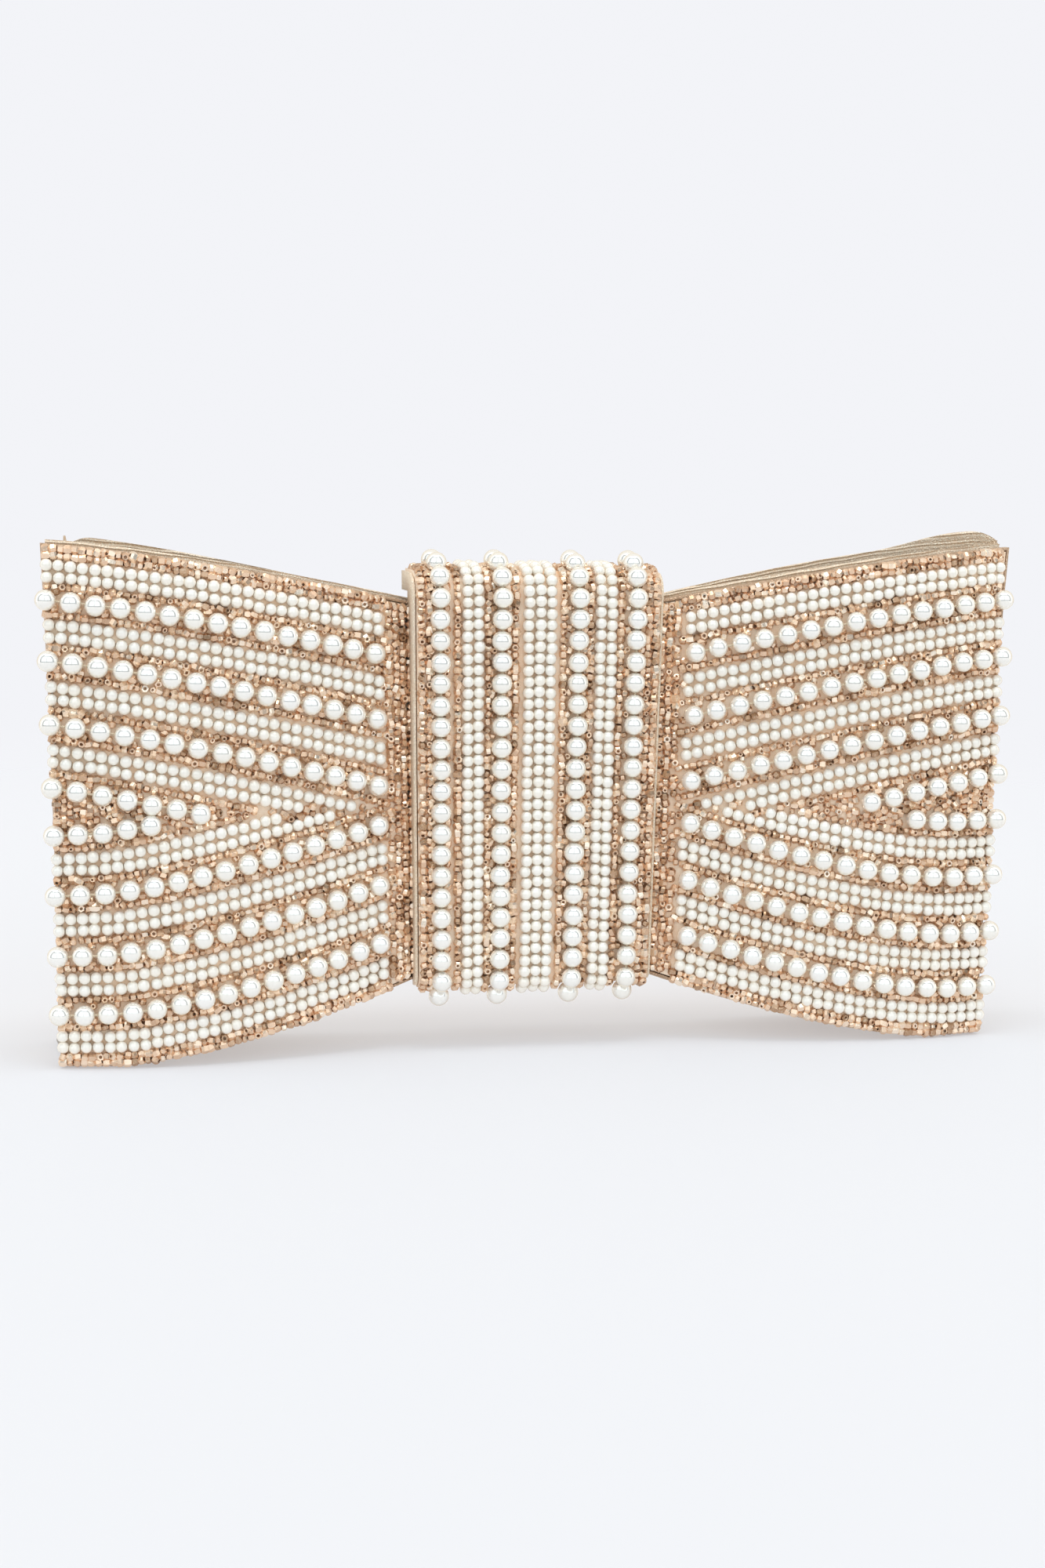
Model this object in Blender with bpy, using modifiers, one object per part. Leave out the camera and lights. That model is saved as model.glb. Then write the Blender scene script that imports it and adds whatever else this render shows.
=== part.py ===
"""Bow-shaped beaded evening clutch.

Two stiff bow-shaped panels stand on one arched base. The front panel swings out about the base
seam, the folded ends follow it, and a magnetic snap under the knot holds the mouth shut.
X runs along the bow, the front faces -Y, and the two feet stand on Z = 0.
"""

import math

import bmesh
import bpy

MM = 0.001

# Outline of the bow, seen from the front
HEIGHT = 150 * MM
HALF_WIDTH_BASE = 140.5 * MM
HALF_WIDTH_TOP = 144.5 * MM
WAIST_BASE = 20.7 * MM
WAIST_TOP = 133 * MM
KNOT_HALF_BASE = 34.6 * MM
KNOT_HALF_TOP = 37.3 * MM
FOOT_SHARE = 0.13
TOP_BEND = 1.35
BASE_BEND = 1.5
SEAM_LIFT = 1.6 * MM
BACK_RISE_WAIST = 0.8 * MM
BACK_RISE_END = 2.5 * MM
BACK_TUCK = 5.5 * MM

# Depth of the two panels, measured at the outer face of their boards
WAIST_DEPTH = 10 * MM
WAIST_LEAN = 4.2 * MM
FRONT_BELLY = 2.5 * MM
BACK_BELLY = 1.5 * MM
CORNER_PINCH = 10 * MM

# Layers of each panel, from the board's outer face inwards
CLEAR = 0.3 * MM
BOARD = 2.0 * MM
CLOTH = 1.0 * MM
CLOTH_GAP = 0.5 * MM
COVER = 0.9 * MM
FACING = 0.8 * MM
LINING = 0.6 * MM
BINDING = 0.9 * MM
BINDING_OUT = 2.0 * MM
BINDING_IN = 1.8 * MM
BINDING_SHARE = 0.4 * MM

# Mesh density: the waist takes two columns and each wing nine
WING_COLUMNS = 9
WAIST_SHARE = 1 / (WING_COLUMNS + 1)
COLUMNS = 2 * (WING_COLUMNS + 1)
ROWS = 4
FACING_FROM = 0.75
FACING_OVER = 1.3 * MM
FACING_INSET = 3.2 * MM

# Base and folded ends
BASE_BOARD = 1.6 * MM
BASE_EDGE_GAP = 3.6 * MM
END_SHEET = 0.8 * MM
END_FOLD = 9 * MM
END_INSET = 1.7 * MM
END_LOW = 4.4 * MM
END_HIGH = HEIGHT - 3 * MM

# Knot
KNOT_LOW = 20.6 * MM
KNOT_HIGH = 140.5 * MM
KNOT_FACE = 14.9 * MM
KNOT_INNER_LOW = 11.9 * MM
KNOT_INNER_HIGH = 8.6 * MM
KNOT_CAP_LOW = 136.2 * MM
KNOT_MEETING = 0.4 * MM
KNOT_LOW_ROUND = 2 * MM
KNOT_TOP_ROUND = 5 * MM
KNOT_TRIM = 0.8 * MM
PEARL_COLUMNS = (-0.79, -0.31, 0.31, 0.79)

# Strung rows of large pearls
PEARL = 3.0 * MM
PEARL_LIFT = 2.3 * MM
UPPER_DROPS = (16.1 * MM, 33.2 * MM, 51.0 * MM, 68.8 * MM)
LOWER_RISES = (67.5 * MM, 50.4 * MM, 33.0 * MM, 16.1 * MM)
ROW_FAN = 0.12
ROW_START = 0.07
ROW_END = 1.015
APEX_STARTS = (0.6, 0.73)
ROW_POINTS = 9

# Magnetic snap
SNAP_HEIGHT = 122 * MM
SNAP_STEPS = 24
POST_HOLE = 1.9 * MM
WASHER_HOLE = 5.2 * MM

# Hinge line of the front panel, along the foremost part of the base seam
SEAM_Y = -22 * MM

# Shift that stands the middle of the bow's box, not of its waist, over the origin
FRONT_REACH = 31.2 * MM
BACK_REACH = 18.2 * MM
SHIFT_Y = (FRONT_REACH - BACK_REACH) / 2


# ---------------------------------------------------------------------------- scene and materials

def clear_scene():
    """Remove whatever the open file holds."""
    for item in list(bpy.data.objects):
        bpy.data.objects.remove(item, do_unlink=True)


def collection(name):
    """Make a collection and link it to the scene."""
    made = bpy.data.collections.new(name)
    bpy.context.scene.collection.children.link(made)
    return made


def finish(obj, colour, metallic, roughness):
    """Give an object a material of its own."""
    material = bpy.data.materials.new(obj.name)
    material.use_nodes = True
    shader = material.node_tree.nodes["Principled BSDF"]
    shader.inputs["Base Color"].default_value = (*colour, 1.0)
    shader.inputs["Metallic"].default_value = metallic
    shader.inputs["Roughness"].default_value = roughness
    obj.data.materials.clear()
    obj.data.materials.append(material)


CHAMPAGNE = ((0.74, 0.60, 0.44), 0.6, 0.38)
ROSE_GOLD = ((0.66, 0.44, 0.30), 0.7, 0.35)
BLUSH_CLOTH = ((0.78, 0.62, 0.50), 0.1, 0.7)
SATIN = ((0.80, 0.70, 0.60), 0.0, 0.5)
GREYBOARD = ((0.42, 0.38, 0.34), 0.0, 0.9)
PEARL_WHITE = ((0.90, 0.87, 0.82), 0.0, 0.15)
GILT = ((0.85, 0.68, 0.42), 1.0, 0.2)


def place(mesh_or_bmesh, name, look, moving):
    """Turn a mesh into a named object, on the swinging front when it moves."""
    if isinstance(mesh_or_bmesh, bmesh.types.BMesh):
        bmesh.ops.recalc_face_normals(mesh_or_bmesh, faces=mesh_or_bmesh.faces[:])
        mesh = bpy.data.meshes.new(name)
        mesh_or_bmesh.to_mesh(mesh)
        mesh_or_bmesh.free()
    else:
        mesh = mesh_or_bmesh
    obj = bpy.data.objects.new(name, mesh)
    settle(obj, moving)
    finish(obj, *look)
    return obj


def settle(obj, moving):
    """Link an object whose points are measured from the waist's middle plane."""
    PARTS.objects.link(obj)
    if moving:
        obj.parent = SEAM_AXIS
        obj.location.y = -SEAM_Y
    else:
        obj.location.y = SHIFT_Y


# ---------------------------------------------------------------------------- the bow's surfaces

def lerp(a, b, share):
    """Blend from a to b."""
    return a + (b - a) * share


def knot_half(z):
    """Half the knot's width, which grows a little upwards."""
    return lerp(KNOT_HALF_BASE, KNOT_HALF_TOP, z / HEIGHT)


def outer_half(z):
    """Half the bow's width."""
    return lerp(HALF_WIDTH_BASE, HALF_WIDTH_TOP, z / HEIGHT)


def top_edge(t):
    """Height of the top edge, from the waist at t = 0 to the outer corner at t = 1."""
    return HEIGHT - (HEIGHT - WAIST_TOP) * max(0.0, 1 - t) ** TOP_BEND


def base_edge(t):
    """Height of the arched base: flat under each foot, highest at the waist."""
    rise = max(0.0, (1 - t - FOOT_SHARE) / (1 - FOOT_SHARE))
    return WAIST_BASE * rise ** BASE_BEND


def waist_face(z):
    """Distance of either board's outer face from the middle, at the waist."""
    return WAIST_DEPTH - WAIST_LEAN * z / HEIGHT


def front_face(t, z):
    """Y of the front board's outer face: each wing swells forwards, then curls back."""
    swell = (25.7 * t - 6.5 * t ** 2 - 10.3 * t ** 4) * MM
    belly = FRONT_BELLY * math.sin(math.pi * z / HEIGHT) * t * (2 - t)
    return -(waist_face(z) + swell + belly)


def back_face(t, z):
    """Y of the back board's outer face, whose top corners are drawn towards the front."""
    swell = (14 * t - 6 * t ** 2 - 3 * t ** 4) * MM
    belly = BACK_BELLY * math.sin(math.pi * z / HEIGHT) * t * (2 - t)
    pinch = CORNER_PINCH * t ** 3 * (z / HEIGHT) ** 2
    return waist_face(z) + swell + belly - pinch


def on_bow(p, v, back, inset, over=0):
    """x, z and wing share t of a point: p runs from -1 to 1 along the bow, v from base to top."""
    reach = abs(p)
    t = max(0.0, (reach - WAIST_SHARE) / (1 - WAIST_SHARE))
    low = base_edge(t) + SEAM_LIFT + inset
    high = top_edge(t) + (lerp(BACK_RISE_WAIST, BACK_RISE_END, t) if back else 0)
    high += over or -inset
    z = lerp(low, high, v)
    outer = outer_half(z) - inset - (BACK_TUCK * (z / HEIGHT) ** 2 if back else 0)
    if reach > WAIST_SHARE:
        x = lerp(knot_half(z), outer, t)
    else:
        x = knot_half(z) * reach / WAIST_SHARE
    return math.copysign(x, p), z, t


def bent_grid(columns, rows, position):
    """A grid primitive whose points are moved to position(u, v)."""
    bm = bmesh.new()
    bmesh.ops.create_grid(bm, x_segments=columns, y_segments=rows, size=1.0)
    for vert in bm.verts:
        vert.co = position((vert.co.x + 1) / 2, (vert.co.y + 1) / 2)
    return bm


def thicken(bm, offset):
    """Extrude the whole grid by offset into a closed sheet."""
    grown = bmesh.ops.extrude_face_region(bm, geom=bm.faces[:])
    new_verts = [item for item in grown["geom"] if isinstance(item, bmesh.types.BMVert)]
    bmesh.ops.translate(bm, verts=new_verts, vec=offset)


def panel(name, look, back, near, far, span=(-1, 1), rise=(0, 1), columns=COLUMNS, rows=ROWS,
          inset=BINDING + BINDING_SHARE, over=0):
    """A sheet that follows one panel, from near to far behind its board's outer face."""
    face = back_face if back else front_face
    inward = -1 if back else 1

    def position(u, v):
        x, z, t = on_bow(lerp(*span, u), lerp(*rise, v), back, inset, over)
        return x, face(t, z) + inward * near, z

    bm = bent_grid(columns, rows, position)
    thicken(bm, (0, inward * (far - near), 0))
    return place(bm, name, look, moving=not back)


def edge_binding(name, look, back):
    """A closed strip round one panel's whole edge, covering the edges of its layers."""
    face = back_face if back else front_face
    inward = -1 if back else 1
    along = [lerp(-1, 1, i / COLUMNS) for i in range(COLUMNS)]
    up = [i / ROWS for i in range(ROWS)]
    route = [(p, 0) for p in along] + [(1, v) for v in up]
    route += [(-p, 1) for p in along] + [(-1, 1 - v) for v in up]
    section = [(0, -BINDING_OUT), (0, BINDING_IN), (BINDING, BINDING_IN), (BINDING, -BINDING_OUT)]

    def position(u, v):
        p, rise = route[round(u * len(route)) % len(route)]
        inset, depth = section[round(v * len(section)) % len(section)]
        x, z, t = on_bow(p, rise, back, inset)
        return x, face(t, z) + inward * depth, z

    bm = bent_grid(len(route), len(section), position)
    bmesh.ops.remove_doubles(bm, verts=bm.verts[:], dist=0.01 * MM)
    return place(bm, name, look, moving=not back)


def base_sheet(name, look, edge_gap, low, high):
    """A sheet along the arched base, between the two panels."""
    def position(u, v):
        p = lerp(-1, 1, u)
        t = max(0.0, (abs(p) - WAIST_SHARE) / (1 - WAIST_SHARE))
        z = base_edge(t)
        outer = outer_half(z) - BINDING - BINDING_SHARE
        x = lerp(knot_half(z), outer, t) if t > 0 else knot_half(z) * abs(p) / WAIST_SHARE
        y = lerp(front_face(t, z) + edge_gap, back_face(t, z) - edge_gap, v)
        return math.copysign(x, p), y, z + low

    bm = bent_grid(COLUMNS, 2, position)
    thicken(bm, (0, 0, high - low))
    return place(bm, name, look, moving=False)


def folded_end(name, look, side):
    """One end of the pouch: a sheet from panel to panel, folded inwards along its middle."""
    def position(u, v):
        z = lerp(END_LOW, END_HIGH, v)
        tuck = BACK_TUCK * (z / HEIGHT) ** 2 * u
        fold = END_FOLD * (1 - abs(2 * u - 1))
        x = outer_half(z) - END_INSET - tuck - fold
        y = lerp(front_face(1, z) + BASE_EDGE_GAP, back_face(1, z) - BASE_EDGE_GAP, u)
        return side * x, y, z

    obj = place(bent_grid(4, 6, position), name, look, moving=False)
    shell = obj.modifiers.new("sheet", "SOLIDIFY")
    shell.thickness = END_SHEET
    shell.offset = 0
    shell.use_even_offset = True
    return obj


# ---------------------------------------------------------------------------- the knot

def arc(centre, radius, start, end, steps):
    """Points of an arc, with angles in degrees."""
    points = []
    for i in range(steps + 1):
        angle = math.radians(lerp(start, end, i / steps))
        points.append((centre[0] + radius * math.cos(angle), centre[1] + radius * math.sin(angle)))
    return points


def knot_route(grow):
    """The knot's outside in section, from under its base, up its face and over its top."""
    face = -(KNOT_FACE + grow)
    low_round = KNOT_LOW_ROUND + grow
    top_round = KNOT_TOP_ROUND + grow
    low = (face + low_round, KNOT_LOW - grow + low_round)
    top = (face + top_round, KNOT_HIGH + grow - top_round)
    route = [(-KNOT_INNER_LOW, KNOT_LOW - grow)]
    route += arc(low, low_round, 270, 180, 3)
    route += arc(top, top_round, 180, 90, 4)
    route += [(-KNOT_MEETING, KNOT_HIGH + grow)]
    return route


def knot_inside(grow):
    """The knot's inside in section, from its top back down to its base."""
    return [(-KNOT_MEETING, KNOT_CAP_LOW), (-KNOT_INNER_HIGH, KNOT_CAP_LOW),
            (-KNOT_INNER_LOW, KNOT_LOW - grow + CLEAR)]


def prism(name, look, outline, left, right, back=False):
    """Extrude a YZ outline along X, from the wall left(z) to the wall right(z)."""
    curve = bpy.data.curves.new(name, "CURVE")
    curve.dimensions = "2D"
    curve.fill_mode = "BOTH"
    curve.extrude = 1.0
    spline = curve.splines.new("POLY")
    spline.points.add(len(outline) - 1)
    for point, (y, z) in zip(spline.points, outline):
        point.co = (y, z, 0, 1)
    spline.use_cyclic_u = True
    mesh = curve_mesh(name, curve)
    bm = bmesh.new()
    bm.from_mesh(mesh)
    bpy.data.meshes.remove(mesh)
    bmesh.ops.remove_doubles(bm, verts=bm.verts[:], dist=0.01 * MM)
    for vert in bm.verts:
        y, z, wall = vert.co
        vert.co = (left(z) if wall < 0 else right(z), -y if back else y, z)
    return place(bm, name, look, moving=not back)


def curve_mesh(name, curve):
    """Turn a curve's evaluated shape into a mesh and drop the curve."""
    holder = bpy.data.objects.new(name, curve)
    PARTS.objects.link(holder)
    graph = bpy.context.evaluated_depsgraph_get()
    mesh = bpy.data.meshes.new_from_object(holder.evaluated_get(graph))
    bpy.data.objects.remove(holder, do_unlink=True)
    bpy.data.curves.remove(curve)
    return mesh


def knot():
    """The knot's front half with its beaded cloth and side strips, and its plain back half."""
    pad = knot_route(0) + knot_inside(0)
    cloth = knot_route(CLEAR) + knot_route(CLEAR + CLOTH)[::-1]
    sides = knot_route(CLEAR + CLOTH) + knot_inside(CLEAR + CLOTH)
    cover = knot_route(CLEAR) + knot_route(CLEAR + COVER)[::-1]

    def wall(side, gap):
        return lambda z: side * (knot_half(z) + gap)

    prism("knot_front_pad", GREYBOARD, pad, wall(-1, 0), wall(1, 0))
    prism("knot_bead_cloth", BLUSH_CLOTH, cloth, wall(-1, 0), wall(1, 0))
    prism("knot_trim_left", CHAMPAGNE, sides, wall(-1, CLEAR + KNOT_TRIM), wall(-1, CLEAR))
    prism("knot_trim_right", CHAMPAGNE, sides, wall(1, CLEAR), wall(1, CLEAR + KNOT_TRIM))
    prism("knot_back_pad", GREYBOARD, pad, wall(-1, 0), wall(1, 0), back=True)
    prism("knot_back_cover", CHAMPAGNE, cover, wall(-1, 0), wall(1, 0), back=True)


# ---------------------------------------------------------------------------- strung pearls

def strand(name, points):
    """A string of large pearls, as one round rod along its thread."""
    curve = bpy.data.curves.new(name, "CURVE")
    curve.dimensions = "3D"
    curve.bevel_depth = PEARL
    curve.bevel_resolution = 2
    curve.use_fill_caps = True
    spline = curve.splines.new("POLY")
    spline.points.add(len(points) - 1)
    for point, where in zip(spline.points, points):
        point.co = (*where, 1)
    obj = bpy.data.objects.new(name, curve)
    settle(obj, moving=True)
    finish(obj, *PEARL_WHITE)


def above_wing(x, z):
    """A point at pearl height over the front board, square to it, for x on the right wing."""
    def depth(x, z):
        t = (x - knot_half(z)) / (outer_half(z) - knot_half(z))
        return front_face(t, z)

    step = 0.5 * MM
    slope_x = (depth(x + step, z) - depth(x - step, z)) / (2 * step)
    slope_z = (depth(x, z + step) - depth(x, z - step)) / (2 * step)
    scale = (PEARL + PEARL_LIFT) / math.sqrt(1 + slope_x ** 2 + slope_z ** 2)
    return x + slope_x * scale, depth(x, z) - scale, z + slope_z * scale


def wing_row(name, height, start, side):
    """One row of large pearls across a wing, at height(t)."""
    points = []
    for i in range(ROW_POINTS):
        t = lerp(start, ROW_END, i / (ROW_POINTS - 1))
        z = height(t)
        x, y, z = above_wing(lerp(knot_half(z), outer_half(z), t), z)
        points.append((side * x, y, z))
    strand(name, points)


def pearls():
    """Four rows that follow the top edge, four that follow the base, and the knot's columns."""
    for side, label in ((-1, "left"), (1, "right")):
        for i, drop in enumerate(UPPER_DROPS):
            start = APEX_STARTS[0] if i == len(UPPER_DROPS) - 1 else ROW_START

            def height(t, drop=drop):
                return top_edge(t) - drop * (1 + ROW_FAN * (1 - t))

            wing_row(f"pearl_row_{label}_{i + 1}", height, start, side)
        for i, rise in enumerate(LOWER_RISES):
            start = APEX_STARTS[1] if i == 0 else ROW_START

            def height(t, rise=rise):
                return base_edge(t) + rise

            wing_row(f"pearl_row_{label}_{i + 5}", height, start, side)
    for i, share in enumerate(PEARL_COLUMNS):
        route = knot_route(CLEAR + CLOTH + CLOTH_GAP + PEARL)[1:]
        points = [(share * knot_half(z), y, z) for y, z in route]
        strand(f"knot_pearl_column_{i + 1}", points)


# ---------------------------------------------------------------------------- magnetic snap

def turned(name, look, profile, closed, moving):
    """Turn a profile of (radius, y) points about the snap's axis."""
    bm = bmesh.new()
    verts = [bm.verts.new((radius, y, 0)) for radius, y in profile]
    for a, b in zip(verts, verts[1:]):
        bm.edges.new((a, b))
    if closed:
        bm.edges.new((verts[-1], verts[0]))
    mesh = bpy.data.meshes.new(name)
    bm.to_mesh(mesh)
    bm.free()
    obj = place(mesh, name, look, moving)
    obj.location.z += SNAP_HEIGHT
    screw = obj.modifiers.new("turn", "SCREW")
    screw.axis = "Y"
    screw.steps = SNAP_STEPS
    screw.render_steps = SNAP_STEPS
    screw.use_merge_vertices = True
    screw.merge_threshold = 0.0001
    return obj


def snap_hole(target, radius):
    """Cut a round hole for the snap through one layer."""
    bpy.ops.mesh.primitive_cylinder_add(
        vertices=SNAP_STEPS, radius=radius, depth=40 * MM,
        location=(0, 0, SNAP_HEIGHT), rotation=(math.pi / 2, 0, 0))
    cutter = bpy.context.object
    cutter.name = f"cutter_{target.name}"
    for holder in list(cutter.users_collection):
        holder.objects.unlink(cutter)
    CUTTERS.objects.link(cutter)
    cutter.display_type = "WIRE"
    cutter.hide_render = True
    cut = target.modifiers.new("snap_hole", "BOOLEAN")
    cut.operation = "DIFFERENCE"
    cut.solver = "EXACT"
    cut.object = cutter


def snap():
    """The two magnet halves and the washers that clinch their posts behind the facings."""
    post = 1.3 * MM
    post_end = 6.2 * MM
    seat = 3.1 * MM
    stud = [(0, 0.7), (2.2, 0.7), (2.2, -1.3), (8, -1.3)]
    stud = [(radius * MM, y * MM) for radius, y in stud]
    stud += [(8 * MM, -seat), (post, -seat), (post, -post_end), (0, -post_end)]
    turned("snap_stud", GILT, stud, closed=False, moving=True)
    socket = [(0, 1.3), (3.0, 1.3), (3.0, -0.9), (9, -0.9)]
    socket = [(radius * MM, y * MM) for radius, y in socket]
    socket += [(9 * MM, seat), (post, seat), (post, post_end), (0, post_end)]
    turned("snap_socket", GILT, socket[::-1], closed=False, moving=False)
    board = waist_face(SNAP_HEIGHT)
    for name, y, moving in (("snap_stud_washer", 1.3 * MM - board, True),
                            ("snap_socket_washer", board - 0.5 * MM, False)):
        hole, rim, thick = 1.6 * MM, 4.6 * MM, 0.8 * MM
        ring = [(hole, y), (rim, y), (rim, y - thick), (hole, y - thick)]
        turned(name, GILT, ring, closed=True, moving=moving)


# ---------------------------------------------------------------------------- assembly

clear_scene()
PARTS = collection("bow_clutch")
CUTTERS = collection("cutters")
SEAM_AXIS = bpy.data.objects.new("front_seam_axis", None)
SEAM_AXIS.location = (0, SEAM_Y + SHIFT_Y, 0)
PARTS.objects.link(SEAM_AXIS)

LINED = BOARD + CLEAR
for is_back, half in ((False, "front"), (True, "back")):
    board = panel(f"{half}_board", GREYBOARD, is_back, 0, BOARD)
    snap_hole(board, WASHER_HOLE)
    facing = panel(f"{half}_facing", CHAMPAGNE, is_back, LINED, LINED + FACING,
                   rise=(FACING_FROM, 1), rows=1, inset=FACING_INSET, over=FACING_OVER)
    snap_hole(facing, POST_HOLE)
    panel(f"{half}_lining", SATIN, is_back, LINED, LINED + LINING,
          rise=(0.03, FACING_FROM - 0.004), rows=ROWS - 1)
    edge_binding(f"{half}_edge_binding", ROSE_GOLD if half == "front" else CHAMPAGNE, is_back)

for side_name, near_end, far_end in (("left", -1, -0.116), ("right", 0.116, 1)):
    panel(f"bead_cloth_{side_name}", BLUSH_CLOTH, False, -CLOTH_GAP, -CLOTH_GAP - CLOTH,
          span=(near_end, far_end), columns=WING_COLUMNS)
panel("back_cover", CHAMPAGNE, True, -CLEAR, -CLEAR - COVER)

POCKET_SPAN = (lerp(WAIST_SHARE, 1, 2 / WING_COLUMNS), lerp(WAIST_SHARE, 1, 7 / WING_COLUMNS))
POCKET_NEAR = LINED + LINING + 0.4 * MM
panel("slip_pocket", SATIN, True, POCKET_NEAR, POCKET_NEAR + LINING,
      span=POCKET_SPAN, rise=(0.06, 0.5), columns=5, rows=2)
panel("slip_pocket_binding", CHAMPAGNE, True, POCKET_NEAR, POCKET_NEAR + FACING,
      span=POCKET_SPAN, rise=(0.503, 0.53), columns=5, rows=1)

base_sheet("base_cover", CHAMPAGNE, CLEAR, 0, COVER)
base_sheet("base_board", GREYBOARD, BASE_EDGE_GAP, COVER + CLEAR, COVER + CLEAR + BASE_BOARD)
base_sheet("base_lining", SATIN, BASE_EDGE_GAP, COVER + BASE_BOARD + 2 * CLEAR,
           COVER + BASE_BOARD + 2 * CLEAR + LINING)
folded_end("end_gusset_left", CHAMPAGNE, -1)
folded_end("end_gusset_right", CHAMPAGNE, 1)

knot()
pearls()
snap()
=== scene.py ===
# %% [markdown]
# # A bow-shaped beaded evening clutch
#
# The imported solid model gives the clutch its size, its pieces and its one joint: the beaded
# front swings out about the seam along the base. Everything here is drawn on top of that frame,
# in metres and in the same place. Sizes are therefore never guessed twice: they are read from the
# frame or follow from the same curves that shaped the panels.

import math
import random

import bmesh
import bpy
import numpy as np
from mathutils import Matrix, Vector, noise


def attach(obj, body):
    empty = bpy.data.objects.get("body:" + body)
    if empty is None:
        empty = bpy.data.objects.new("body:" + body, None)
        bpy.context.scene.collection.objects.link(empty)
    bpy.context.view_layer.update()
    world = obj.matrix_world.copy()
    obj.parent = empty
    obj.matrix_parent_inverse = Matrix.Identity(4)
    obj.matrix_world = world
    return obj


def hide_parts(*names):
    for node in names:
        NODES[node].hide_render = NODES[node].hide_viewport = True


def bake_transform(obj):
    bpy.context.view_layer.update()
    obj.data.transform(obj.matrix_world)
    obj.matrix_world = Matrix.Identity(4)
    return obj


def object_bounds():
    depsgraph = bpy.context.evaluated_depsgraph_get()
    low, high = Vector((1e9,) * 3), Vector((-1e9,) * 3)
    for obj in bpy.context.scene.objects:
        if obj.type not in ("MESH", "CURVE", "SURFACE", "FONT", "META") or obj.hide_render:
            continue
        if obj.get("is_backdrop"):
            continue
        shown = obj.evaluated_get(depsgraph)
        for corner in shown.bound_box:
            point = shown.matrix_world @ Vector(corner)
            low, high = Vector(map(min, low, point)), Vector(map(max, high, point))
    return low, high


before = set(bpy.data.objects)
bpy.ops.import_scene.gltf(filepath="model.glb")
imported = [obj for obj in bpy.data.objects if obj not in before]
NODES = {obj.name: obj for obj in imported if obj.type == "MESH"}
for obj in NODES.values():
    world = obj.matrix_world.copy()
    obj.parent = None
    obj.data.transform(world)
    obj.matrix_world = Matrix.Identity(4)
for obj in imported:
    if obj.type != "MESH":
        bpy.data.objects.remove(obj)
CAD_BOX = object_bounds()
MM = 0.001
print("clutch", [round((b - a) / MM, 1) for a, b in zip(*CAD_BOX)], "mm,", len(NODES), "nodes")

# %% [markdown]
# ## Shader sums as plain sentences
#
# A finish such as pebbled leatherette is mostly arithmetic on textures. Blender does that sum
# with one Math node for each operator, which soon hides what is meant. Wrapping a socket in a
# small class and overloading the operators lets the sum be written as it is said, and the nodes
# appear behind it.

# %% A socket that can be added, multiplied and subtracted
class Grain:
    """One output socket, on which arithmetic adds Math nodes."""

    def __init__(self, finish, socket):
        self.finish = finish
        self.socket = socket

    def maths(self, operation, *values):
        return self.finish.node("ShaderNodeMath", {"operation": operation},
                                dict(enumerate(values)))

    def __add__(self, other):
        return self.maths("ADD", self, other)

    def __sub__(self, other):
        return self.maths("SUBTRACT", self, other)

    def __rsub__(self, other):
        return self.maths("SUBTRACT", other, self)

    def __mul__(self, other):
        return self.maths("MULTIPLY", self, other)

    def __truediv__(self, other):
        return self.maths("DIVIDE", self, other)

    def __pow__(self, other):
        return self.maths("POWER", self, other)

    __radd__ = __add__
    __rmul__ = __mul__

    def above(self, low, high):
        """0 below low, 1 above high, smooth between."""
        return self.finish.node("ShaderNodeMapRange", {"interpolation_type": "SMOOTHSTEP"},
                                {"Value": self, "From Min": low, "From Max": high})


# %% [markdown]
# A finish is one material. Its nodes all come from one method that takes the node's type, its
# own settings, and what goes into its sockets, so a finish reads from top to bottom like a
# recipe.

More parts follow.
